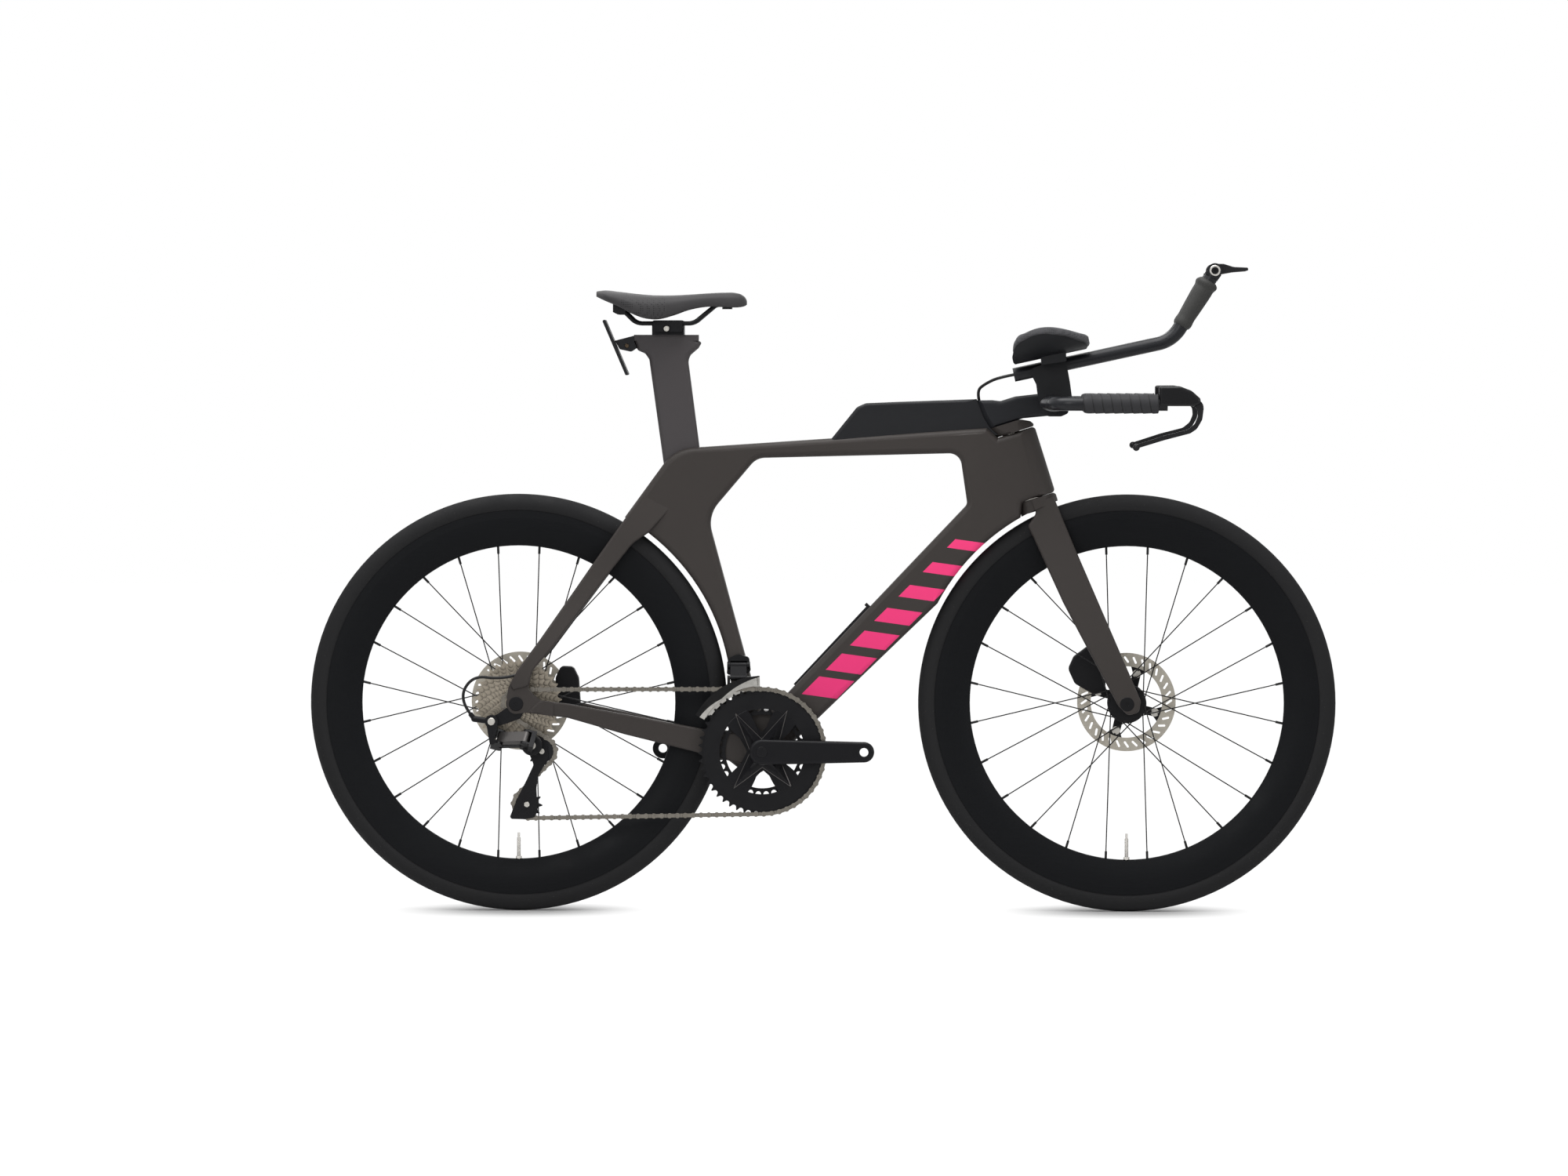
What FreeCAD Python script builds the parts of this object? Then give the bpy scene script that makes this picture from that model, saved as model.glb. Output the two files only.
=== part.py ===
import FreeCAD, Part
import math
import os

V = FreeCAD.Vector
UP = V(0, 0, 1)
LEFT = V(0, 1, 0)
ORIGIN = V(0, 0, 0)

# Time trial bicycle in millimetres: X forward, Y to the rider's left, Z up from the ground.
# The drive side is the right side, where Y is negative.

# Frame layout
WHEELBASE = 986.0
WHEEL_R = 338.0
BB_DROP = 77.7
BB_REACH = 396.5
HEAD_ANGLE = 72.5
FORK_OFFSET = 48.0
HEAD_LOW = 361.5
HEAD_HIGH = 472.5
TYRE_GAP = 8.5
TYRE_SIDE_GAP = 5.0
SHELL_WIDTH = 86.5
SHELL_R = 33.0
DOWN_TUBE_ANGLE = 45.3
DOWN_TUBE_RUN = 370.5
FRAME_ROUND = 9.0
HEAD_NOSE = 40.0
TOP_TUBE_HALF = 21.0
SEAT_TUBE_HALF = 20.0
DOWN_TUBE_HALF = 28.0
HEAD_HALF = 29.0
STAY_ROUND = 4.0
DROPOUT_T = 8.0
REAR_OLD = 142.0
FRONT_OLD = 100.0
FIT = 0.05
RUN_GAP = 0.8

# Wheels
TYRE_SECTION_R = 14.0
TYRE_WALL = 3.0
RIM_DEPTH = 57.0
RIM_HALF = 13.6
RIM_WALL = 2.0
SEAM_TURN = 3.0
SPOKES = 24
SPOKE_R = 0.95
NIPPLE_R = 2.0
NIPPLE_LEN = 12.0
FLANGE_R = 31.5
FLANGE_BEVEL = 1.5
SPOKE_CIRCLE_R = 28.5
FLANGE_T = 3.2
SPOKE_LEAN = 60.0
SPOKE_OFF = 0.85
HUB_BODY_R = 14.0
AXLE_R = 6.0
HUB_BORE_R = 8.0
HUB_BEARING_R = 12.5
HUB_BEARING_W = 6.0
FRONT_FLANGE_LEFT = 21.0
FRONT_FLANGE_RIGHT = -33.0
REAR_FLANGE_LEFT = 31.0
REAR_FLANGE_RIGHT = -13.5
ROTOR_R = 80.0
ROTOR_INNER_R = 58.0
ROTOR_T = 1.8
ROTOR_SLOTS = 32
FRONT_ROTOR_Y = 39.6
REAR_ROTOR_Y = 55.7
CARRIER_R = 17.0
VALVE_R = 3.0
VALVE_LEN = 34.0

# Drivetrain
PITCH = 12.7
ROLLER_R = 3.85
SEAT_R = 4.0
CRANK_LEN = 165.0
CRANK_OUT = 73.0
CRANK_T = 12.5
CRANK_ROOT_R = 19.0
CRANK_TIP_R = 16.5
SPINDLE_R = 12.0
SPINDLE_WALL = 2.5
CRANK_FACE_T = 2.0
BB_BEARING_R = 20.5
BB_BEARING_W = 8.0
RING_TEETH = 50
SMALL_RING_TEETH = 34
RING_Y = -47.5
SMALL_RING_Y = -39.5
RING_T = 1.8
BOLT_CIRCLE_R = 55.0
SPIDER_ANGLES = (56.0, 126.0, -126.0, -50.0)
COGS = (11, 12, 13, 14, 15, 17, 19, 21, 24, 27, 30, 34)
COG_T = 1.6
COG_STEP = 3.7
COG_Y = -59.5
FREEHUB_R = 15.5
PULLEY_TEETH = 11
PULLEY_T = 2.2
PEDAL_HOLE_R = 7.14

# Cockpit
STEERER_R = 14.3
UPPER_BEARING_R = 20.9
LOWER_BEARING_R = 23.5
BEARING_H = 8.0
STEM_HALF = 27.0
BAR_AHEAD = 80.4
BAR_UP = 498.8
BAR_R = 11.15
HORN_Y = 195.0
HORN_LEN = 167.0
BAR_BEND_R = 34.0
TAPE_R = 15.8
TAPE_STEP = 1.1
TAPE_WRAPS = 8
TAPE_START = 46.0
EXT_R = 11.1
EXT_WALL = 1.6
EXT_Y = 55.0
CUP_Y = 92.0
CUP_R = 52.0
CUP_T = 3.0
PAD_T = 11.0
PAD_CLEAR = 0.3
BRAKE_TRAVEL_GAP = 0.5

# Saddle and post
POST_HALF = 11.0
POST_DEPTH = 90.0
RAIL_R = 3.5
RAIL_Y = 22.0
SHELL_T = 2.6
COVER_T = 9.0

REAR = V(-WHEELBASE / 2, 0, WHEEL_R)
FRONT = V(WHEELBASE / 2, 0, WHEEL_R)
BB = V(REAR.x + BB_REACH, 0, WHEEL_R - BB_DROP)
LEAN = math.radians(HEAD_ANGLE)
STEER = V(-math.cos(LEAN), 0, math.sin(LEAN))
AHEAD = V(math.sin(LEAN), 0, math.cos(LEAN))
STEER_FOOT = FRONT - AHEAD * FORK_OFFSET


def bb(x, z, y=0.0):
    """A point measured from the bottom bracket centre."""
    return V(BB.x + x, y, BB.z + z)


def rear(x, z, y=0.0):
    """A point measured from the rear axle."""
    return V(REAR.x + x, y, REAR.z + z)


def front(x, z, y=0.0):
    """A point measured from the front axle."""
    return V(FRONT.x + x, y, FRONT.z + z)


def hd(ahead, along, y=0.0):
    """A point ahead of the steering axis and along it from its lowest point."""
    p = STEER_FOOT + AHEAD * ahead + STEER * along
    return V(p.x, y, p.z)


def save(name, shapes):
    """Write one node, which may be a group of solids."""
    solids = []
    for s in shapes if isinstance(shapes, list) else [shapes]:
        solids.extend(s.Solids)
    body = solids[0] if len(solids) == 1 else Part.makeCompound(solids)
    body.exportStep("parts/" + name + ".step")
    good = all(s.isValid() for s in solids)
    volume = round(sum(s.Volume for s in solids))
    print(name, len(solids), "solids", volume, "mm3", "" if good else "INVALID")


def rounded(points, radii, closed=True):
    """A wire of straight runs joined by tangent arcs of the given radii."""
    n = len(points)
    cuts = []
    for i in range(n):
        p = points[i]
        r = radii[i]
        if r <= 0 or (not closed and i in (0, n - 1)):
            cuts.append((p, None, p))
            continue
        a = (points[i - 1] - p).normalize()
        b = (points[(i + 1) % n] - p).normalize()
        half = a.getAngle(b) / 2
        t = r / math.tan(half)
        m = p + (a + b).normalize() * (r / math.sin(half) - r)
        cuts.append((p + a * t, m, p + b * t))
    edges = []
    for i in range(n):
        s, m, e = cuts[i]
        if m is not None:
            edges.append(Part.Arc(s, m, e).toShape())
        if i == n - 1 and not closed:
            break
        q = cuts[(i + 1) % n][0]
        if e.distanceToPoint(q) > 1e-4:
            edges.append(Part.LineSegment(e, q).toShape())
    return Part.Wire(edges)


def plate(points, radii, y0, y1):
    """A side outline made solid between two Y planes."""
    if not isinstance(radii, (list, tuple)):
        radii = [radii] * len(points)
    wire = rounded([V(p.x, y0, p.z) for p in points], radii)
    return Part.Face(wire).extrude(V(0, y1 - y0, 0))


def rod(p, q, r):
    """A round rod between two points."""
    d = q - p
    return Part.makeCylinder(r, d.Length, p, d)


def disc(c, r, y0, y1):
    """A round plate about an axis along Y."""
    return Part.makeCylinder(r, y1 - y0, V(c.x, y0, c.z), LEFT)


def ring(c, r_out, r_in, y0, y1):
    """A round plate with a round hole, about an axis along Y."""
    return disc(c, r_out, y0, y1).cut(disc(c, r_in, y0, y1))


def turned(c, pairs):
    """A solid turned about the Y axis through c from (radius, y) corners."""
    pts = [V(c.x + r, y, c.z) for r, y in pairs]
    wire = Part.makePolygon(pts + [pts[0]])
    return Part.Face(wire).revolve(c, LEFT, 360)


def steer_turned(pairs):
    """A solid turned about the steering axis from (radius, height) corners."""
    pts = [hd(r, a) for r, a in pairs]
    wire = Part.makePolygon(pts + [pts[0]])
    return Part.Face(wire).revolve(STEER_FOOT, STEER, 360)


def swept(wire, r):
    """A round section carried along a wire."""
    first = wire.Edges[0]
    at = first.valueAt(first.FirstParameter)
    along = first.tangentAt(first.FirstParameter)
    profile = Part.Wire([Part.Circle(at, along, r).toShape()])
    return wire.makePipeShell([profile], True, False)


def loft(wires):
    """A smooth solid through closed sections."""
    return Part.makeLoft(wires, True, False)


def both(shape):
    """A solid and its mirror on the other side of the bike."""
    return [shape, shape.mirror(ORIGIN, LEFT)]


def other_side(shape):
    """The mirror of a solid on the other side of the bike."""
    return shape.mirror(ORIGIN, LEFT)


def oval_wire(c, u, w, a, b, power=2.6, count=16):
    """A closed smooth section between an ellipse and a rectangle, in the plane of u and w."""
    pts = []
    for i in range(count):
        t = 2 * math.pi * i / count
        s = math.copysign(abs(math.sin(t)) ** (2 / power), math.sin(t))
        k = math.copysign(abs(math.cos(t)) ** (2 / power), math.cos(t))
        pts.append(c + u * (a * k) + w * (b * s))
    curve = Part.BSplineCurve()
    curve.interpolate(pts, PeriodicFlag=True)
    return Part.Wire([curve.toShape()])


def spline(points):
    """A smooth open curve through points."""
    curve = Part.BSplineCurve()
    curve.interpolate(points)
    return curve.toShape()


def soften(shape, edges, r):
    """Round edges with the largest radius up to r that the shape allows."""
    for share in (1.0, 0.75, 0.5, 0.3):
        try:
            out = shape.makeFillet(r * share, edges)
            if out.isValid() and len(out.Solids) == 1:
                return out
        except Part.OCCError:
            continue
    return shape


def side_face_edges(shape):
    """Edges that bound the curved side faces of a shape cut by side surfaces."""
    picked = []
    for f in shape.Faces:
        if f.Surface.TypeId == "Part::GeomBSplineSurface":
            picked += f.Edges
    return picked


# Main frame: the side outline, thinned to its width by two smooth side surfaces
DT = V(math.cos(math.radians(DOWN_TUBE_ANGLE)), 0, math.sin(math.radians(DOWN_TUBE_ANGLE)))
DT_LOW = BB + V(DT.z, 0, -DT.x) * SHELL_R
REAR_CLEAR_R = WHEEL_R + TYRE_GAP
WIDE = 60.0

frame_outline = [
    bb(-237, 360),
    bb(-143, 488.9),
    hd(-34.6, HEAD_HIGH + 20.6),
    hd(-22, HEAD_HIGH),
    hd(HEAD_NOSE, HEAD_HIGH),
    hd(HEAD_NOSE, HEAD_LOW),
    hd(-16, HEAD_LOW),
    hd(-27, HEAD_LOW - 25.5),
    DT_LOW + DT * DOWN_TUBE_RUN,
    bb(-14, -47.6),
    bb(-75, 0),
    rear(250, 180),
]
frame_radii = [0, 64, 0, 0, 6, 6, 6, 0, 0, 30, 0, 0]
window_outline = [hd(-88.4, 467.3), bb(-10.5, 474), bb(-90.1, 380.1), bb(-0.8, 50.2), hd(-101.8, 384.7)]
window_radii = [20, 30, 50, 15, 12]


def frame_sides():
    """Blocks that thin the frame: their inner faces are half the tube width at each place."""
    xs = [REAR.x + 73, BB.x - 53.5, BB.x + 156.5, BB.x + 326.5, BB.x + 426.5, BB.x + 576.5]
    zs = [BB.z - 60, BB.z + 160, BB.z + 360, BB.z + 570]
    low = [SEAT_TUBE_HALF, SHELL_R, SHELL_R, HEAD_HALF, HEAD_HALF, HEAD_HALF]
    mid = [SEAT_TUBE_HALF, SEAT_TUBE_HALF + 2, DOWN_TUBE_HALF, HEAD_HALF, HEAD_HALF, HEAD_HALF]
    high = [SEAT_TUBE_HALF, SEAT_TUBE_HALF, TOP_TUBE_HALF + 4, HEAD_HALF, HEAD_HALF, HEAD_HALF]
    top = [SEAT_TUBE_HALF, SEAT_TUBE_HALF, TOP_TUBE_HALF, TOP_TUBE_HALF + 4, HEAD_HALF - 2, HEAD_HALF - 2]
    rows = [low, mid, high, top]
    grid = []
    for i, x in enumerate(xs):
        grid.append([V(x, rows[k][i], z) for k, z in enumerate(zs)])
    surface = Part.BSplineSurface()
    surface.interpolate(grid)
    return both(surface.toShape().extrude(V(0, WIDE, 0)))


def stay(outline, radii, outer, inner, across):
    """One stay: its side outline, kept between an outer and an inner curve seen along 'across'."""
    side = plate(outline, radii, 0, WIDE * 2)
    outer = [p - across * p.dot(across) for p in outer]
    inner = [p - across * p.dot(across) for p in inner]
    edges = [spline(outer), Part.LineSegment(outer[-1], inner[-1]).toShape()]
    edges += [spline(inner), Part.LineSegment(inner[0], outer[0]).toShape()]
    lid = Part.Face(Part.Wire(Part.__sortEdges__(edges)))
    lid.translate(across * -2000)
    blade = side.common(lid.extrude(across * 4000)).Solids[0]
    long_edges = [e for e in blade.Edges if e.Length > 60]
    return soften(blade, long_edges, STAY_ROUND)


def make_frame():
    """The frame in one piece with its head, seat post, shell and axle bores."""
    body = plate(frame_outline, frame_radii, -WIDE, WIDE)
    body = body.cut(plate(window_outline, window_radii, -WIDE, WIDE))
    body = body.cut(disc(REAR, REAR_CLEAR_R, -WIDE, WIDE))
    body = body.cut(disc(FRONT, WHEEL_R + TYRE_GAP, -WIDE, WIDE))
    body = body.cut(frame_sides())
    body = soften(body, side_face_edges(body), FRAME_ROUND)
    oval = Part.Ellipse(hd(HEAD_NOSE, 0), hd(0, 0, HEAD_HALF + 0.5), hd(0, 0)).toShape()
    nose = Part.Face(Part.Wire([oval])).extrude(STEER * 600)
    ahead = plate([hd(4, 300), hd(4, 520), hd(90, 520), hd(90, 300)], 0, -WIDE, WIDE)
    body = body.cut(ahead.cut(nose))

    inner = TYRE_SECTION_R + TYRE_SIDE_GAP
    drop_in = REAR_OLD / 2
    drop_out = drop_in + DROPOUT_T
    chain_outline = [
        rear(17, -14),
        rear(38, 6),
        rear(83, 0),
        bb(-95.5, 35.2),
        bb(-18, 26),
        bb(-18, -25),
        bb(-97.5, -4.3),
        rear(173, -50),
        rear(83, -23),
    ]
    chain_outer = [bb(-10, 0, 36), bb(-60, 0, 36), bb(-110, 0, 36.5), rear(190, 0, 47), rear(95, 0, 66)]
    chain_outer += [rear(45, 0, drop_out), rear(5, 0, drop_out)]
    chain_inner = [bb(-10, 0, 12), bb(-55, 0, inner), bb(-115, 0, inner), rear(185, 0, 32)]
    chain_inner += [rear(92, 0, 58.6), rear(45, 0, drop_in), rear(5, 0, drop_in)]
    chain_stay = stay(chain_outline, [0, 10, 20, 30, 0, 0, 30, 40, 20], chain_outer, chain_inner, UP)

    seat_outline = [
        bb(-160, 465),
        rear(125, 230),
        rear(37.5, 103),
        rear(1, 52.5),
        rear(-11, 30),
        rear(-4, 22),
        rear(19.2, 28.4),
        rear(27.2, 54.5),
        rear(53.4, 84.7),
        rear(149, 211.5),
        rear(186, 258),
        rear(212, 276),
        rear(262, 330),
    ]
    seat_radii = [0, 60, 60, 30, 10, 0, 10, 20, 40, 60, 40, 20, 0]
    top = bb(-160, 465)
    low = rear(0, 25)
    run = (low - top).normalize()
    across = V(-run.z, 0, run.x)
    length = (low - top).Length

    def along(share, y):
        p = top + run * (length * share)
        return V(p.x, y, p.z)

    seat_outer = [along(-0.05, 12), along(0.1, 19), along(0.25, 29), along(0.42, 33), along(0.62, 47)]
    seat_outer += [along(0.8, 71), along(0.88, drop_out), along(1.05, drop_out)]
    seat_inner = [along(-0.05, 4), along(0.1, 8), along(0.25, inner), along(0.42, inner + 1)]
    seat_inner += [along(0.62, 33), along(0.8, 60), along(0.88, drop_in), along(1.05, drop_in)]
    seat_stay = stay(seat_outline, seat_radii, seat_outer, seat_inner, across)

    drop_outline = [
        rear(-11, 30),
        rear(-15, 14),
        rear(-15, -6),
        rear(-6, -17),
        rear(17, -14),
        rear(60, -20),
        rear(60, 2),
        rear(38, 6),
        rear(19.2, 24),
        rear(24, 46),
        rear(1, 52.5),
    ]
    drop = plate(drop_outline, [12, 15, 12, 12, 10, 0, 0, 14, 10, 0, 0], drop_in, drop_out)
    shell = disc(BB, SHELL_R - 4, -SHELL_WIDTH / 2, SHELL_WIDTH / 2)
    body = body.fuse(both(chain_stay) + both(seat_stay) + both(drop) + [shell])

    bowl = steer_turned(
        [
            (0, HEAD_HIGH),
            (23 + RUN_GAP, HEAD_HIGH),
            (27 + RUN_GAP, HEAD_HIGH + 4),
            (34.6 + RUN_GAP, HEAD_HIGH + 20),
            (38.3 + RUN_GAP, HEAD_HIGH + 38),
            (0, HEAD_HIGH + 38),
        ]
    )
    crown = steer_turned([(0, HEAD_LOW), (25.5, HEAD_LOW), (27.5, HEAD_LOW - 60), (0, HEAD_LOW - 60)])
    bore = steer_turned([(0, HEAD_LOW - 5), (17.5, HEAD_LOW - 5), (17.5, HEAD_HIGH + 5), (0, HEAD_HIGH + 5)])
    low_seat = steer_turned(
        [
            (0, HEAD_LOW - 5),
            (LOWER_BEARING_R + FIT, HEAD_LOW - 5),
            (LOWER_BEARING_R + FIT, HEAD_LOW + BEARING_H),
            (0, HEAD_LOW + BEARING_H),
        ]
    )
    high_seat = steer_turned(
        [
            (0, HEAD_HIGH - BEARING_H),
            (UPPER_BEARING_R + FIT, HEAD_HIGH - BEARING_H),
            (UPPER_BEARING_R + FIT, HEAD_HIGH + 5),
            (0, HEAD_HIGH + 5),
        ]
    )
    shell_bore = disc(BB, BB_BEARING_R + FIT, -WIDE, WIDE)
    axle_bore = disc(REAR, AXLE_R + FIT, -REAR_OLD, REAR_OLD)
    pocket_half = POST_HALF + POST_FIT
    post_pocket = plate(post_outline(POST_FIT), 0, -pocket_half, pocket_half)
    post_pocket = soften(post_pocket, long_sides(post_pocket, pocket_half), POST_ROUND)
    cuts = [bowl, crown, bore, low_seat, high_seat, shell_bore, axle_bore, post_pocket]
    body = body.cut(cuts)
    body = body.cut(ring(BB, SHELL_R - 4.5, 5, -WIDE, -SHELL_WIDTH / 2))
    return max(body.Solids, key=lambda s: s.Volume)


# Seat post: a wing section with a track for the saddle clamp on top
POST_SLOPE = 0.134
POST_FRONT = bb(-103.6, 492.8)
POST_REAR = bb(-161.1, 466.4)
POST_TOP_REAR = bb(-184.6, 633.7)
POST_TOP_FRONT = bb(-121.5, 632.7)
POST_ROUND = POST_HALF * 0.72
POST_FIT = 0.15
TRACK_TOP = 673.5


def post_outline(grow=0.0):
    """The post up to its head in side view, grown all round for the frame's pocket."""
    low = POST_FRONT + V(POST_SLOPE, 0, -1) * POST_DEPTH
    low_rear = POST_REAR + V(POST_SLOPE, 0, -1) * (POST_REAR.z - low.z)
    return [
        low_rear + V(-grow, 0, -grow),
        POST_TOP_REAR + V(-grow, 0, 0),
        POST_TOP_FRONT + V(grow, 0, 0),
        low + V(grow, 0, -grow),
    ]


def long_sides(shape, half):
    """Edges along the two flat sides of a plate, the short ones at its foot left out."""
    foot = shape.BoundBox.ZMin + 2
    picked = []
    for e in shape.Edges:
        c = e.CenterOfMass
        if abs(abs(c.y) - half) < 0.01 and e.Length > 2 and foot < c.z < BB.z + 663:
            picked.append(e)
    return picked


def make_post():
    """The post with its forward and rearward head."""
    low_rear, top_rear, top_front, low = post_outline()
    outline = [
        low_rear,
        top_rear,
        bb(-191, 643),
        bb(-203.6, 648.5),
        bb(-209, 664),
        bb(-104.5, 664),
        bb(-99.5, 661),
        bb(-104.6, 652),
        bb(-117.3, 641),
        top_front,
        low,
    ]
    post = plate(outline, [0, 8, 8, 8, 0, 0, 3, 8, 8, 20, 0], -POST_HALF, POST_HALF)
    post = soften(post, long_sides(post, POST_HALF), POST_ROUND)
    corners = [bb(-209, 664), bb(-209, TRACK_TOP), bb(-104.5, TRACK_TOP), bb(-104.5, 664)]
    track = plate(corners, 0, -POST_HALF, POST_HALF)
    return [post, track]


# Fork: a crown turned about the steering axis where it faces the frame, and two deep blades
CROWN_TOP = HEAD_LOW - RUN_GAP
CROWN_REAR_R = 24.0
FORK_DROP_T = 9.0


def steer_rod(r, low, high):
    """A round rod about the steering axis."""
    return rod(hd(0, low), hd(0, high), r)


def make_fork():
    """Crown, steerer and blades in one piece, with the axle bore."""
    ahead_block = plate([hd(0, 200), hd(0, 420), hd(90, 420), hd(90, 200)], 0, -WIDE, WIDE)
    crown_outline = [
        hd(-CROWN_REAR_R, CROWN_TOP),
        hd(HEAD_NOSE, CROWN_TOP),
        hd(HEAD_NOSE, CROWN_TOP - 12),
        hd(HEAD_NOSE - 3, CROWN_TOP - 26),
        front(-84.9, 252.5),
        front(-146, 262),
        hd(-CROWN_REAR_R, 330),
    ]
    crown = plate(crown_outline, [0, 5, 10, 10, 0, 0, 0], -HEAD_HALF, HEAD_HALF)
    oval = Part.Ellipse(hd(HEAD_NOSE, 0), hd(0, 0, HEAD_HALF), hd(0, 0)).toShape()
    nose = Part.Face(Part.Wire([oval])).extrude(STEER * 600)
    crown = crown.common(nose)
    turned_rear = steer_rod(CROWN_REAR_R, 250, CROWN_TOP)
    crown = crown.common(ahead_block.fuse(turned_rear))
    crown = crown.cut(disc(FRONT, WHEEL_R + TYRE_GAP, -WIDE, WIDE))

    blade_outline = [
        hd(HEAD_NOSE - 5, CROWN_TOP - 6),
        hd(HEAD_NOSE - 3, CROWN_TOP - 26),
        front(-84.9, 252.5),
        front(-10, 79.6),
        front(22.4, 4.8),
        front(19, -13),
        front(1.5, -18.6),
        front(-14.8, -2.2),
        front(-64, 89),
        front(-103.6, 163.7),
        front(-152.7, 271),
        hd(-19, 322),
        hd(0, 337),
        hd(0, CROWN_TOP - 6),
    ]
    radii = [0, 10, 30, 60, 12, 8, 10, 15, 60, 60, 30, 5, 8, 0]
    top = hd(10, CROWN_TOP - 26)
    low = front(0, 0)
    run = (low - top).normalize()
    across = V(-run.z, 0, run.x)
    length = (low - top).Length

    def along(share, y):
        p = top + run * (length * share)
        return V(p.x, y, p.z)

    clear = TYRE_SECTION_R + TYRE_SIDE_GAP
    drop_in = FRONT_OLD / 2
    drop_out = drop_in + FORK_DROP_T
    outer = [along(-0.15, HEAD_HALF - 6), along(0.1, HEAD_HALF + 1), along(0.3, 38), along(0.55, 48)]
    outer += [along(0.8, drop_out - 2), along(0.9, drop_out), along(1.1, drop_out)]
    inner = [along(-0.15, clear - 9), along(0.1, clear), along(0.3, clear + 4), along(0.55, 35)]
    inner += [along(0.8, drop_in - 3), along(0.9, drop_in), along(1.1, drop_in)]
    blade = stay(blade_outline, radii, outer, inner, across)
    blade = blade.cut([disc(FRONT, AXLE_R + FIT, 0, WIDE * 2), disc(FRONT, AXLE_R + 4, drop_out, WIDE * 2)])
    steerer = steer_rod(STEERER_R, CROWN_TOP - 20, STEM_TOP - 4)
    race = steer_rod(STEERER_R + 3, CROWN_TOP - 5, HEAD_LOW - FIT)
    fork = crown.fuse(both(blade) + [steerer, race])
    fork = fork.cut(steer_rod(STEERER_R - 3, CROWN_TOP + 5, STEM_TOP))
    return max(fork.Solids, key=lambda s: s.Volume)


# Stem: a bowl turned about the steering axis behind, a wedge to the bar in front
STEM_LOW = HEAD_HIGH + 18.0
STEM_TOP = 528.0
BAR_C = hd(BAR_AHEAD, BAR_UP)
BAR_CLAMP_R = 15.9
CLAMP_HALF = 32.0


def bar(x, z, y=0.0):
    """A point measured from the centre of the base bar."""
    return V(BAR_C.x + x, y, BAR_C.z + z)


def bowl_solid(low, high):
    """The turned shape that both the cap and the stem fill behind the steering axis."""
    pairs = [(23, HEAD_HIGH), (27, HEAD_HIGH + 4), (34.6, HEAD_HIGH + 20), (38.3, HEAD_HIGH + 38)]
    pairs.append((40.5, 545))
    full = steer_turned([(0, HEAD_HIGH)] + pairs + [(0, 545)])
    slab = plate([hd(-60, low), hd(-60, high), hd(60, high), hd(60, low)], 0, -WIDE, WIDE)
    return full.common(slab)


def make_stem():
    """Stem body and the cap under it, both clear of the frame as they turn."""
    ahead = plate([hd(0, 470), hd(0, 560), hd(140, 560), hd(140, 470)], 0, -WIDE, WIDE)
    outline = [
        hd(-45, STEM_LOW),
        hd(-45, 543),
        hd(-13, 533.5),
        hd(-1, STEM_TOP),
        hd(24, STEM_TOP),
        hd(BAR_AHEAD - 10, BAR_UP + 20),
        hd(BAR_AHEAD + 20, BAR_UP + 19),
        hd(BAR_AHEAD + 20, BAR_UP - 19),
        hd(BAR_AHEAD - 14, BAR_UP - 17),
        hd(26, STEM_LOW),
    ]
    radii = [0, 0, 6, 10, 20, 10, 16, 16, 10, 15]
    stem = plate(outline, radii, -STEM_HALF, STEM_HALF)
    stem = stem.common(ahead.fuse(bowl_solid(STEM_LOW, 545)))
    edges = []
    for e in stem.Edges:
        c = e.CenterOfMass
        if abs(abs(c.y) - STEM_HALF) < 0.1 and (c - STEER_FOOT).dot(AHEAD) > 2:
            edges.append(e)
    stem = soften(stem, edges, 7)
    stem = stem.cut(steer_rod(STEERER_R + FIT, STEM_LOW - 1, STEM_TOP - 4 + FIT))
    stem = stem.cut(rod(bar(0, 0, -WIDE), bar(0, 0, WIDE), BAR_CLAMP_R + FIT))
    for side in (-1, 1):
        over = V(CABLE_OVER.x, CABLE_OVER.y * side, CABLE_OVER.z)
        end = V(CABLE_IN.x, CABLE_IN.y * side, CABLE_IN.z)
        stem = stem.cut(rod(end, over, CABLE_R + FIT))
    cap_outline = [
        hd(-40, HEAD_HIGH + RUN_GAP),
        hd(-40, STEM_LOW),
        hd(20, STEM_LOW),
        hd(36, HEAD_HIGH + 10),
        hd(HEAD_NOSE - 0.5, HEAD_HIGH + 4),
        hd(HEAD_NOSE - 2, HEAD_HIGH + RUN_GAP),
    ]
    cap = plate(cap_outline, [0, 0, 20, 8, 2, 0], -STEM_HALF, STEM_HALF)
    oval = Part.Ellipse(hd(HEAD_NOSE, 0), hd(0, 0, HEAD_HALF), hd(0, 0)).toShape()
    nose = Part.Face(Part.Wire([oval])).extrude(STEER * 600)
    cap = cap.common(ahead.common(nose).fuse(bowl_solid(HEAD_HIGH + RUN_GAP, STEM_LOW)))
    cap = cap.cut(steer_rod(STEERER_R + FIT, HEAD_HIGH, STEM_LOW + 1))
    return stem, cap


CABLE_R = 2.4
CABLE_Y = 12.0
CABLE_OVER = hd(-33, 555, CABLE_Y + 2)
CABLE_IN = hd(-33.5, 534, CABLE_Y)


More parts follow.
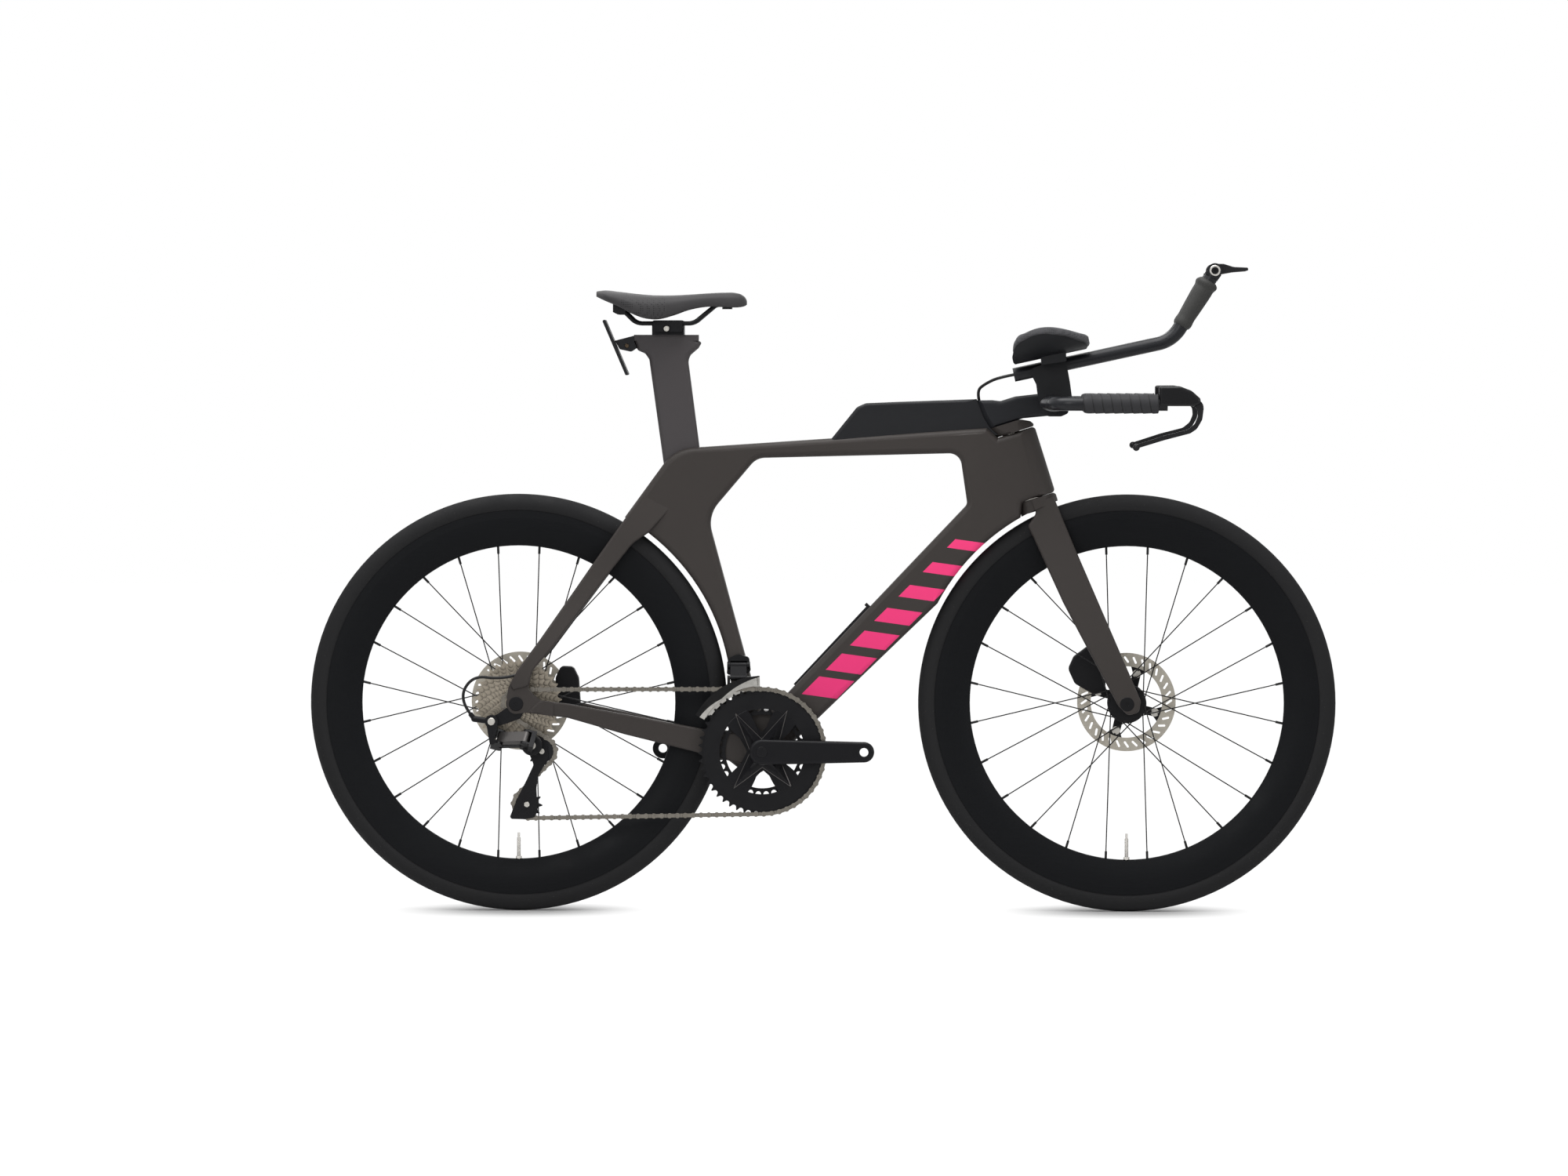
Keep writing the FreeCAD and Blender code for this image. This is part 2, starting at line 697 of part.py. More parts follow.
# Base bar: a wing across the middle that bends forward into two round horns
def make_bar():
    """Wing and horns in one piece."""
    wing = []
    start = HORN_Y - BAR_BEND_R
    root = BAR_CLAMP_R - 0.3
    end = BAR_R + 0.4
    stations = [(CLAMP_HALF - 4, root, root), (75, 21, 13.5), (120, 21, 12), (start, end, end)]
    for y, a, b in stations:
        wing.append(oval_wire(bar(0, 0, y), V(1, 0, 0), UP, a, b, 2.0))
    path = rounded(
        [bar(0, 0, start - 8), bar(0, 0, HORN_Y), bar(HORN_LEN, 0, HORN_Y)],
        [0, BAR_BEND_R, 0],
        closed=False,
    )
    half = loft(wing).fuse(swept(path, BAR_R))
    middle = Part.makeCylinder(BAR_CLAMP_R, CLAMP_HALF * 2, bar(0, 0, -CLAMP_HALF), LEFT)
    return middle.fuse(both(half))


def make_tape():
    """Wrapped tape on each horn: each turn laps over the one behind it."""
    start = BAR_C.x + TAPE_START
    step = (HORN_LEN - TAPE_START) / TAPE_WRAPS
    inner = BAR_R + FIT
    corners = [V(start, HORN_Y, BAR_C.z + inner), V(start, HORN_Y, BAR_C.z + inner + 2)]
    for i in range(TAPE_WRAPS):
        x = start + i * step
        corners.append(V(x + 1.5, HORN_Y, BAR_C.z + TAPE_R))
        corners.append(V(x + step, HORN_Y, BAR_C.z + TAPE_R - TAPE_STEP))
    end = BAR_C.x + HORN_LEN
    corners.append(V(end, HORN_Y, BAR_C.z + inner))
    face = Part.Face(Part.makePolygon(corners + [corners[0]]))
    return both(face.revolve(bar(0, 0, HORN_Y), V(1, 0, 0), 360))


# Brake levers at the ends of the horns
LEVER_PIVOT = (222.0, 4.0)
LEVER_HALF = 12.0
BLADE_HALF = 5.0
PIN_R = 2.0


def make_brake_body():
    """Lever housing with a plug into the horn, a slot for the blade and its pin."""
    outline = [
        bar(HORN_LEN, 28.5),
        bar(200, 28.7),
        bar(219, 21.5),
        bar(233, 9),
        bar(234, 2),
        bar(226, -3.5),
        bar(HORN_LEN, -3.5),
    ]
    body = plate(outline, [4, 20, 16, 5, 4, 8, 3], HORN_Y - LEVER_HALF, HORN_Y + LEVER_HALF)
    edges = []
    for e in body.Edges:
        if abs(abs(e.CenterOfMass.y - HORN_Y) - LEVER_HALF) < 0.1:
            edges.append(e)
    body = soften(body, edges, 5)
    collar = rod(bar(HORN_LEN, 0, HORN_Y), bar(HORN_LEN + 14, 0, HORN_Y), BAR_R)
    body = body.fuse(collar)
    pin = bar(LEVER_PIVOT[0], LEVER_PIVOT[1])
    slot_half = BLADE_HALF + BRAKE_TRAVEL_GAP
    slot = disc(pin, 16, HORN_Y - slot_half, HORN_Y + slot_half)
    slot = slot.fuse(
        plate(
            [bar(205, -10), bar(205, 5), bar(222, 22), bar(250, 22), bar(250, -10)],
            0,
            HORN_Y - slot_half,
            HORN_Y + slot_half,
        )
    )
    body = body.cut(slot)
    return body.fuse(disc(pin, PIN_R, HORN_Y - LEVER_HALF + 1, HORN_Y + LEVER_HALF - 1))


def make_brake_blade():
    """Blade hooked down and back under the horn, bored for its pin, with a ball tip."""
    outer = [
        bar(*LEVER_PIVOT),
        bar(237, 3),
        bar(238.4, -7),
        bar(236.2, -25),
        bar(227.5, -40),
        bar(217, -47),
        bar(175, -58),
        bar(131, -71.5),
    ]
    inner = [
        bar(133, -64.5),
        bar(176, -50.5),
        bar(213, -41),
        bar(224, -32),
        bar(229, -20),
        bar(228, -8),
        bar(214, 3),
    ]
    corners = outer + inner
    radii = [0, 7, 6, 16, 16, 12, 40, 0, 0, 40, 12, 12, 12, 8, 0]
    radii[0] = 2
    blade = plate(corners, radii, HORN_Y - BLADE_HALF, HORN_Y + BLADE_HALF)
    boss = disc(bar(*LEVER_PIVOT), 7, HORN_Y - BLADE_HALF, HORN_Y + BLADE_HALF)
    web = plate(
        [bar(219, -1), bar(224, 10), bar(236.5, 2), bar(234, -8)],
        [0, 3, 3, 0],
        HORN_Y - BLADE_HALF,
        HORN_Y + BLADE_HALF,
    )
    tip = Part.makeSphere(BLADE_HALF + 0.6, bar(131, -69.5, HORN_Y))
    blade = blade.fuse([boss, web, tip])
    return blade.cut(disc(bar(*LEVER_PIVOT), PIN_R + FIT, HORN_Y - WIDE, HORN_Y + WIDE))


# Towers, extensions and arm rests
EXT_END = bar(-64.5, 45.7)
EXT_KNEE = bar(191.3, 101.5)
EXT_TIP = bar(253, 203)
EXT_BEND_R = 55.0
CUP_TILT = 12.3


def ext_path(y):
    """The centre line of one extension."""
    pts = [V(EXT_END.x, y, EXT_END.z), V(EXT_KNEE.x, y, EXT_KNEE.z), V(EXT_TIP.x, y, EXT_TIP.z)]
    return rounded(pts, [0, EXT_BEND_R, 0], closed=False)


def make_extension():
    """A bent tube open at both ends."""
    path = ext_path(EXT_Y)
    return swept(path, EXT_R).cut(swept(path, EXT_R - EXT_WALL))


def make_grip():
    """Rubber sleeve on the upright end of the extension, thicker where the palm rests."""
    d = (EXT_TIP - EXT_KNEE).normalize()
    side = V(d.z, 0, -d.x)
    length = (EXT_TIP - EXT_KNEE).Length
    sections = []
    shape = ((0.23, 12.4, 12.2), (0.38, 13.4, 13), (0.6, 14.8, 13.8), (0.82, 15.5, 14.2), (0.95, 14.2, 13.4))
    for share, a, b in shape:
        c = EXT_KNEE + d * (length * share)
        sections.append(oval_wire(V(c.x, EXT_Y, c.z), side, LEFT, a, b, 2.0))
    grip = loft(sections)
    return grip.cut(rod(V(EXT_KNEE.x, EXT_Y, EXT_KNEE.z), V(EXT_TIP.x, EXT_Y, EXT_TIP.z), EXT_R + FIT))


def make_tower():
    """Riser from the bar to the extension, split into a base clamp and a stack with the top clamp."""
    half = 16.0
    outline = [
        bar(-34, 42),
        bar(-28, 30),
        bar(-26, 14),
        bar(-23, -1),
        bar(25, -1),
        bar(29, 12),
        bar(26, 34),
        bar(22, 56),
        bar(20, 68),
        bar(-20, 62),
        bar(-36, 56),
    ]
    tower = plate(outline, [3, 6, 6, 0, 0, 6, 6, 3, 4, 3, 3], EXT_Y - half, EXT_Y + half)
    tower = tower.cut(swept(ext_path(EXT_Y), EXT_R + FIT))
    low = plate(
        [bar(-23, -1), bar(-20, -16), bar(-8, -21), bar(12, -21), bar(23, -16), bar(25, -1)],
        [0, 5, 8, 8, 5, 0],
        EXT_Y - half,
        EXT_Y + half,
    )
    wing = make_bar()
    return tower.cut(wing), low.cut(wing)


def cup_frame(x, y, z):
    """A point in the tilted arm rest, from the middle of its trough."""
    t = math.radians(CUP_TILT)
    return bar(-6 + x * math.cos(t) - z * math.sin(t), 75 + x * math.sin(t) + z * math.cos(t), CUP_Y + y)


def make_cup():
    """Arm cup and the pad in it: two layers of a trough cut to the arm rest's side outline."""
    t = math.radians(CUP_TILT)
    lengthwise = V(math.cos(t), 0, math.sin(t))
    upward = V(-math.sin(t), 0, math.cos(t))
    centre = cup_frame(-100, 0, CUP_R)
    outer = Part.makeCylinder(CUP_R, 200, centre, lengthwise)
    middle = Part.makeCylinder(CUP_R - CUP_T, 200, centre, lengthwise)
    pad_low = Part.makeCylinder(CUP_R - CUP_T - PAD_CLEAR, 200, centre, lengthwise)
    inner = Part.makeCylinder(CUP_R - CUP_T - PAD_T, 200, centre, lengthwise)
    cup_side = [
        cup_frame(-60, 0, -1),
        cup_frame(-60, 0, 12),
        cup_frame(-52, 0, 30),
        cup_frame(-12, 0, 42),
        cup_frame(30, 0, 28),
        cup_frame(60, 0, 9),
        cup_frame(63, 0, 4),
        cup_frame(58, 0, -1),
    ]
    cup_side = [V(p.x, 0, p.z) for p in cup_side]
    cup_cut = plate(cup_side, [6, 10, 25, 60, 40, 6, 3, 3], CUP_Y - 100, CUP_Y + 100)
    pad_side = [V(p.x, 0, p.z) + upward * 6 + lengthwise * 4 for p in cup_side]
    pad_side[0] = pad_side[0] - upward * 8
    pad_side[-1] = pad_side[-1] - upward * 8
    pad_cut = plate(pad_side, [6, 10, 25, 60, 40, 6, 3, 3], CUP_Y - 100, CUP_Y + 100)
    cup = outer.cut(middle).common(cup_cut)
    pad = pad_low.cut(inner).common(pad_cut)
    cup = max(cup.Solids, key=lambda s: s.Volume)
    pad = max(pad.Solids, key=lambda s: s.Volume)
    pad = soften(pad, [e for e in pad.Edges if e.Length > 30], 2.5)
    return cup, pad


def make_cup_bracket():
    """Shelf on the tower that carries the arm cup."""
    shelf = plate(
        [bar(-20, 62), bar(20, 68), bar(19, 90), bar(-21, 86)],
        [0, 0, 4, 4],
        EXT_Y - 14,
        CUP_Y + 16,
    )
    t = math.radians(CUP_TILT)
    lengthwise = V(math.cos(t), 0, math.sin(t))
    trough = Part.makeCylinder(CUP_R, 200, cup_frame(-100, 0, CUP_R), lengthwise)
    shelf = shelf.cut([trough, swept(ext_path(EXT_Y), EXT_R + FIT)])
    return max(shelf.Solids, key=lambda s: s.Volume)


# Shifters in the ends of the extensions
SHIFT_PIVOT = EXT_TIP + V(6.2, 0, 11.1)
SHIFT_R = 12.0
SHIFT_HALF = 7.0


def make_shift_body():
    """Plug in the tube end, two cheeks and the pivot pin of the shift lever."""
    d = (EXT_TIP - EXT_KNEE).normalize()
    tip = V(EXT_TIP.x, EXT_Y, EXT_TIP.z)
    plug = rod(tip - d * 22, tip, EXT_R - EXT_WALL - FIT)
    head = rod(tip, tip + d * 6, EXT_R + 0.6)
    pivot = V(SHIFT_PIVOT.x, 0, SHIFT_PIVOT.z)
    cheeks = disc(pivot, SHIFT_R, EXT_Y - 11, EXT_Y + 11)
    neck = plate(
        [
            V(EXT_TIP.x - 9, 0, EXT_TIP.z + 6),
            V(pivot.x - 12, 0, pivot.z),
            V(pivot.x + 10, 0, pivot.z - 8),
            V(EXT_TIP.x + 11, 0, EXT_TIP.z - 4),
        ],
        0,
        EXT_Y - 11,
        EXT_Y + 11,
    )
    body = plug.fuse([head, cheeks, neck])
    half = SHIFT_HALF + BRAKE_TRAVEL_GAP
    body = body.cut(disc(pivot, SHIFT_R + 3, EXT_Y - half, EXT_Y + half))
    return body.fuse(disc(pivot, PIN_R + 1, EXT_Y - 11, EXT_Y + 11))


def make_shift_lever():
    """Drum on the pin and a paddle pointing forward."""
    pivot = V(SHIFT_PIVOT.x, 0, SHIFT_PIVOT.z)
    drum = disc(pivot, SHIFT_R - 0.5, EXT_Y - SHIFT_HALF, EXT_Y + SHIFT_HALF)
    arm = plate(
        [
            pivot + V(2, 0, 11),
            pivot + V(14, 0, 11),
            pivot + V(30, 0, 6),
            pivot + V(53, 0, 5),
            pivot + V(54, 0, 0),
            pivot + V(30, 0, -2),
            pivot + V(8, 0, -6),
        ],
        [0, 8, 20, 2, 2, 20, 0],
        EXT_Y - 5.5,
        EXT_Y + 5.5,
    )
    lever = drum.fuse(arm)
    edges = [e for e in lever.Edges if e.CenterOfMass.x > pivot.x + 16 and e.Length > 5]
    lever = soften(lever, edges, 1.6)
    return lever.cut(disc(pivot, PIN_R + 1 + FIT, 0, EXT_Y + WIDE))


def make_shift_cable():
    """Shift cable from the open rear end of the extension to the top of the stem."""
    points = [
        V(EXT_END.x + 14, EXT_Y, EXT_END.z + 3),
        V(EXT_END.x - 22, EXT_Y - 3, EXT_END.z - 3),
        V(EXT_END.x - 46, EXT_Y - 22, EXT_END.z - 14),
        CABLE_OVER,
        CABLE_IN,
    ]
    return swept(rounded(points, [0, 18, 16, 14, 0], closed=False), CABLE_R)


# Wheels
RIM_OUT = WHEEL_R - 27.0
RIM_IN = RIM_OUT - RIM_DEPTH
RIM_FLOOR = RIM_OUT - 8.0
RIM_NOSE_T = 4.0
BEAD_HALF = 11.0


def polar(c, r, degrees, y=0.0):
    """A point at a radius and angle about an axis along Y, from +X towards +Z."""
    t = math.radians(degrees)
    return V(c.x + r * math.cos(t), y, c.z + r * math.sin(t))


def section(c, parts):
    """Turn a section about the wheel axis: two (radius, y) make a line, three an arc, more a curve."""
    edges = []
    for part in parts:
        pts = [V(c.x + r, y, c.z) for r, y in part]
        if len(pts) == 2:
            edges.append(Part.LineSegment(pts[0], pts[1]).toShape())
        elif len(pts) == 3:
            edges.append(Part.Arc(pts[0], pts[1], pts[2]).toShape())
        else:
            edges.append(spline(pts))
    return Part.Face(Part.Wire(edges)).revolve(c, LEFT, 360)


def make_tyre(c):
    """Hollow tyre whose beads sit on the rim floor."""
    w = TYRE_SECTION_R
    low = RIM_OUT + FIT * 4
    bead = RIM_FLOOR + FIT
    hook = BEAD_HALF - FIT
    inner = BEAD_HALF - 2.5
    mid = WHEEL_R - w - 2.5
    shoulder = WHEEL_R - 7
    outer = [(low, -12), (mid, -w), (shoulder, -10.6), (WHEEL_R, 0), (shoulder, 10.6), (mid, w), (low, 12)]
    return section(
        c,
        [
            outer,
            [(low, 12), (low, hook)],
            [(low, hook), (bead, hook)],
            [(bead, hook), (bead, inner)],
            [(bead, inner), (low + 2, inner)],
            [(low + 2, inner), (WHEEL_R - TYRE_WALL, 0), (low + 2, -inner)],
            [(low + 2, -inner), (bead, -inner)],
            [(bead, -inner), (bead, -hook)],
            [(bead, -hook), (low, -hook)],
            [(low, -hook), (low, -12)],
        ],
    )


def spoke_ends(c, i, y_left, y_right):
    """Where spoke i leaves the hub flange and where it enters the rim."""
    at_rim = 90 + (i + 0.5) * 360 / SPOKES
    flange = y_left if i % 2 == 0 else y_right
    lead = 1 if (i // 2) % 2 == 0 else -1
    outward = 1 if flange > 0 else -1
    y = flange + lead * outward * (FLANGE_T / 2 + SPOKE_R + SPOKE_OFF)
    hub = polar(c, SPOKE_CIRCLE_R, at_rim + lead * SPOKE_LEAN, y)
    seat = polar(c, RIM_IN + RIM_NOSE_T + 0.55, at_rim, 0)
    return hub, seat, flange, lead * outward


def make_rim(c, y_left, y_right):
    """Deep hollow rim with nipple holes, and the valve through it."""
    h = RIM_HALF
    nose = RIM_IN + RIM_NOSE_T
    rim = section(
        c,
        [
            [(RIM_IN + 2, -4.5), (RIM_IN, 0), (RIM_IN + 2, 4.5)],
            [(RIM_IN + 2, 4.5), (RIM_IN + 26, h - 1.6), (RIM_OUT - 12, h)],
            [(RIM_OUT - 12, h), (RIM_OUT, h - 0.4)],
            [(RIM_OUT, h - 0.4), (RIM_OUT, BEAD_HALF)],
            [(RIM_OUT, BEAD_HALF), (RIM_FLOOR, BEAD_HALF)],
            [(RIM_FLOOR, BEAD_HALF), (RIM_FLOOR, -BEAD_HALF)],
            [(RIM_FLOOR, -BEAD_HALF), (RIM_OUT, -BEAD_HALF)],
            [(RIM_OUT, -BEAD_HALF), (RIM_OUT, -h + 0.4)],
            [(RIM_OUT, -h + 0.4), (RIM_OUT - 12, -h)],
            [(RIM_OUT - 12, -h), (RIM_IN + 26, -h + 1.6), (RIM_IN + 2, -4.5)],
        ],
    )
    top = RIM_FLOOR - RIM_WALL
    side = h - RIM_WALL
    cavity = section(
        c,
        [
            [(nose, -4), (nose, 4)],
            [(nose, 4), (RIM_IN + 26, side - 1.8), (top - 2, side - 0.2)],
            [(top - 2, side - 0.2), (top, side - 2)],
            [(top, side - 2), (top, -side + 2)],
            [(top, -side + 2), (top - 2, -side + 0.2)],
            [(top - 2, -side + 0.2), (RIM_IN + 26, -side + 1.8), (nose, -4)],
        ],
    )
    holes = []
    for i in range(SPOKES):
        hub, seat, flange, lead = spoke_ends(c, i, y_left, y_right)
        d = (seat - hub).normalize()
        holes.append(rod(seat - d * (NIPPLE_LEN + 6), seat + d * 0.5, NIPPLE_R + FIT))
    stem_top = polar(c, RIM_FLOOR + 4, -90)
    stem_low = polar(c, RIM_IN - VALVE_LEN, -90)
    holes.append(rod(polar(c, RIM_OUT, -90), polar(c, RIM_IN - 3, -90), VALVE_R + FIT))
    rim = rim.cut(cavity)
    rim.rotate(c, LEFT, SEAM_TURN)
    rim = rim.cut(holes)
    valve = rod(stem_low, stem_top, VALVE_R)
    foot = rod(polar(c, RIM_FLOOR + FIT, -90), stem_top, 5)
    tip = rod(polar(c, RIM_IN - VALVE_LEN - 8, -90), stem_low, VALVE_R - 1)
    nut = rod(polar(c, RIM_IN - 4, -90), polar(c, RIM_IN - 0.1, -90), 5)
    nut = nut.cut(rod(stem_low, stem_top, VALVE_R + FIT))
    return [rim, valve.fuse([foot, tip]), nut]


def make_spokes(c, y_left, y_right):
    """Crossed spokes hooked through the flanges, each with its nipple."""
    out = []
    for i in range(SPOKES):
        hub, seat, flange, lead = spoke_ends(c, i, y_left, y_right)
        d = (seat - hub).normalize()
        neck = seat - d * (NIPPLE_LEN + RIM_NOSE_T)
        elbow_in = V(hub.x, flange - lead * (FLANGE_T / 2 + 1.0), hub.z)
        wire = rod(hub, neck, SPOKE_R)
        elbow = rod(hub, elbow_in, SPOKE_R)
        head = rod(V(hub.x, flange - lead * FLANGE_T / 2, hub.z), elbow_in, SPOKE_R + 0.8)
        ball = Part.makeSphere(SPOKE_R, hub)
        out.append(wire.fuse([ball, elbow, head]))
        out.append(rod(neck, seat, NIPPLE_R).fuse(rod(seat, seat + d * 2, NIPPLE_R + 1)))
    return out


def make_hub(c, y_left, y_right, end_left, end_right, rotor_y):
    """Hub shell with drilled flanges and a bearing at each end."""
    body = [
        (HUB_BORE_R, end_right),
        (HUB_BEARING_R + 3, end_right),
        (HUB_BEARING_R + 3, y_right - FLANGE_T / 2),
        (FLANGE_R - FLANGE_BEVEL, y_right - FLANGE_T / 2),
        (FLANGE_R, y_right - FLANGE_T / 2 + FLANGE_BEVEL),
        (FLANGE_R, y_right + FLANGE_T / 2),
        (HUB_BODY_R + 5, y_right + FLANGE_T / 2),
        (HUB_BODY_R, y_right + 10),
        (HUB_BODY_R, y_left - 10),
        (HUB_BODY_R + 5, y_left - FLANGE_T / 2),
        (FLANGE_R, y_left - FLANGE_T / 2),
        (FLANGE_R, y_left + FLANGE_T / 2 - FLANGE_BEVEL),
        (FLANGE_R - FLANGE_BEVEL, y_left + FLANGE_T / 2),
        (CARRIER_R + 3, y_left + FLANGE_T / 2),
        (CARRIER_R, rotor_y - 6),
        (CARRIER_R, rotor_y + 2),
        (HUB_BEARING_R + 2, rotor_y + 2),
        (HUB_BEARING_R + 2, end_left),
        (HUB_BORE_R, end_left),
    ]
    shell = turned(c, body)
    cuts = []
    for i in range(SPOKES):
        hub, seat, flange, lead = spoke_ends(c, i, y_left, y_right)
        cuts.append(disc(V(hub.x, 0, hub.z), SPOKE_R + FIT, flange - FLANGE_T, flange + FLANGE_T))
    seats = [(end_right, end_right + HUB_BEARING_W), (end_left - HUB_BEARING_W, end_left)]
    bearings = []
    for y0, y1 in seats:
        cuts.append(disc(c, HUB_BEARING_R, y0, y1))
        bearings.append(ring(c, HUB_BEARING_R, AXLE_R + FIT, y0, y1))
    return [shell.cut(cuts)] + bearings


RIVET_ANGLES = (70.0, -20.0, -110.0, 160.0)
RIVET_CIRCLE_R = 49.0
RIVET_R = 3.0
CARRIER_T = 3.0


def make_rotor(c, y):
    """Slotted brake ring riveted to a four armed carrier."""
    y0 = y - ROTOR_T / 2
    y1 = y + ROTOR_T / 2
    wires = []
    for r in (ROTOR_R, ROTOR_INNER_R):
        wires.append(Part.Wire([Part.Circle(V(c.x, y0, c.z), LEFT, r).toShape()]))
    slot_long = 12.0
    slot_half = 1.7
    for i in range(ROTOR_SLOTS):
        a = 360.0 * i / ROTOR_SLOTS
        m = polar(c, (ROTOR_R + ROTOR_INNER_R) / 2, a, y0)
        d = (polar(c, 1, a + 35) - c).normalize()
        n = V(-d.z, 0, d.x) * slot_half
        p = m - d * (slot_long / 2 - slot_half)
        q = m + d * (slot_long / 2 - slot_half)
        e1 = Part.LineSegment(p + n, q + n).toShape()
        e2 = Part.Arc(q + n, q + d * slot_half, q - n).toShape()
        e3 = Part.LineSegment(q - n, p - n).toShape()
        e4 = Part.Arc(p - n, p - d * slot_half, p + n).toShape()
        wires.append(Part.Wire([e1, e2, e3, e4]))
    brake = Part.Face(wires, "Part::FaceMakerBullseye").extrude(V(0, ROTOR_T, 0))
    lugs = []
    arms = []
    rivets = []
    for a in RIVET_ANGLES:
        at = polar(c, RIVET_CIRCLE_R, a)
        lug = [polar(c, RIVET_CIRCLE_R, a - 8), polar(c, ROTOR_INNER_R + 1.5, a - 13)]
        lug += [polar(c, ROTOR_INNER_R + 1.5, a + 13), polar(c, RIVET_CIRCLE_R, a + 8)]
        lugs.append(plate(lug, 0, y0, y1))
        lugs.append(disc(at, RIVET_R + 3.5, y0, y1))
        root = [polar(c, CARRIER_R + 1, a - 38), polar(c, RIVET_CIRCLE_R, a - 8)]
        root += [polar(c, RIVET_CIRCLE_R, a + 8), polar(c, CARRIER_R + 1, a + 12)]
        arms.append(plate(root, 0, y0 - CARRIER_T, y0))
        arms.append(disc(at, RIVET_R + 3.7, y0 - CARRIER_T, y0))
        rivet = disc(at, RIVET_R, y0 - CARRIER_T, y1)
        rivets.append(rivet.fuse(disc(at, RIVET_R + 1.6, y0 - CARRIER_T - 0.8, y0 - CARRIER_T)))
    holes = [disc(polar(c, RIVET_CIRCLE_R, a), RIVET_R, y0 - CARRIER_T, y1) for a in RIVET_ANGLES]
    brake = brake.fuse(lugs).cut(holes)
    core = ring(c, CARRIER_R + 6, CARRIER_R + FIT, y0 - CARRIER_T, y0 + 2)
    carrier = core.fuse(arms).cut(holes).cut(disc(c, CARRIER_R + FIT, y0 - CARRIER_T, y1 + 3))
    return [brake, carrier] + rivets


def make_axle(c, head_y, y_end):
    """Through axle with a hex head on the left."""
    axle = disc(c, AXLE_R, y_end, head_y)
    head = disc(c, AXLE_R + 3.5, head_y, head_y + 4)
    key = []
    for i in range(6):
        key.append(polar(c, 3.4, 60 * i))
    axle = axle.fuse(head)
    return axle.cut(plate(key, 0, head_y - 2, head_y + 5)).cut(disc(c, AXLE_R - 2, y_end, head_y - 8))


# Chain line: four toothed wheels in one side plane, each with its teeth, centre and turning sense
def pitch_r(teeth):
    """Radius of the circle through the chain rollers on a toothed wheel."""
    return PITCH / (2 * math.sin(math.pi / teeth))


RD_AXIS = rear(25.8, -66.5)
GUIDE_FROM_AXIS = V(15.4, 0, -10.2)
TENSION_FROM_AXIS = V(-6.0, 0, -96.8)


def swung(v, degrees):
    """A vector swung about the Y axis, rearwards below the axis for a positive angle."""
    t = math.radians(degrees)
    return V(v.x * math.cos(t) + v.z * math.sin(t), v.y, v.z * math.cos(t) - v.x * math.sin(t))


def chain_loop(cage_swing):
    """Pieces of the closed chain loop, each with its length counted in links."""
    guide = RD_AXIS + swung(GUIDE_FROM_AXIS, cage_swing)
    tension = RD_AXIS + swung(TENSION_FROM_AXIS, cage_swing)
    wheels = [
        (REAR, COGS[0], 1),
        (BB, RING_TEETH, 1),
        (tension, PULLEY_TEETH, 1),
        (guide, PULLEY_TEETH, -1),
    ]
    runs = []
    for i in range(4):
        a, ta, sa = wheels[i]
        b, tb, sb = wheels[(i + 1) % 4]
        d = b - a
        k = sa * pitch_r(ta) - sb * pitch_r(tb)
        heading = math.atan2(d.z, d.x) - math.asin(k / d.Length)
        left = V(-math.sin(heading), 0, math.cos(heading))
        runs.append((a + left * (sa * pitch_r(ta)), b + left * (sb * pitch_r(tb))))
    pieces = []
    for i in range(4):
        p, q = runs[i]
        pieces.append(("line", p, q, (q - p).Length / PITCH))
        c, teeth, sense = wheels[(i + 1) % 4]
        nxt = runs[(i + 1) % 4][0]
        a0 = math.atan2(q.z - c.z, q.x - c.x)
        a1 = math.atan2(nxt.z - c.z, nxt.x - c.x)
        turn = ((a0 - a1) * sense) % (2 * math.pi)
        pieces.append(("arc", c, (pitch_r(teeth), a0, -sense), turn * teeth / (2 * math.pi)))
    return pieces


def loop_links(cage_swing):
    """Length of the whole loop in links."""
    return sum(p[3] for p in chain_loop(cage_swing))


def closing_swing():
    """The cage angle at which the loop is a whole even number of links."""
    want = 2 * round(loop_links(0) / 2)
    low = -12.0
    high = 12.0
    rising = loop_links(high) > loop_links(low)
    for step in range(50):
        mid = (low + high) / 2
        if (loop_links(mid) < want) == rising:
            low = mid
        else:
            high = mid
    return (low + high) / 2, want


CAGE_SWING, LINKS = closing_swing()
LOOP = chain_loop(CAGE_SWING)
GUIDE = RD_AXIS + swung(GUIDE_FROM_AXIS, CAGE_SWING)
TENSION = RD_AXIS + swung(TENSION_FROM_AXIS, CAGE_SWING)
print("chain links", LINKS, "cage swing", round(CAGE_SWING, 2), "loop", round(loop_links(CAGE_SWING), 3))


def roller_spots():
    """Centre of every chain roller, with the piece of the loop it lies on."""
    spots = []
    done = 0.0
    k = 0
    for n, piece in enumerate(LOOP):
        kind, a, b, links = piece
        while k < done + links - 1e-6 and k < LINKS:
            s = k - done
            if kind == "line":
                p = a + (b - a) * (s / links)
            else:
                r, start, sense = b
                step = 2 * math.asin(PITCH / (2 * r))
                t = start + sense * s * step
                p = V(a.x + r * math.cos(t), 0, a.z + r * math.sin(t))
            spots.append((p, n))
            k += 1
        done += links
    return spots


def chain_y(x):
    """Sideways place of the chain: level with the cog behind, with the big ring in front."""
    x0 = REAR.x + 68
    x1 = BB.x - 25
    share = min(1.0, max(0.0, (x - x0) / (x1 - x0)))
    return COG_Y + (RING_Y - COG_Y) * share


def first_angle(spots, n, c):
    """Angle of the first roller on loop piece n about its wheel."""
    for p, piece in spots:
        if piece == n:
            return math.degrees(math.atan2(p.z - c.z, p.x - c.x))
    return 0.0


SPOTS = roller_spots()
RING_PHASE = first_angle(SPOTS, 1, BB)
TENSION_PHASE = first_angle(SPOTS, 3, TENSION)
GUIDE_PHASE = first_angle(SPOTS, 5, GUIDE)
COG_PHASE = first_angle(SPOTS, 7, REAR)

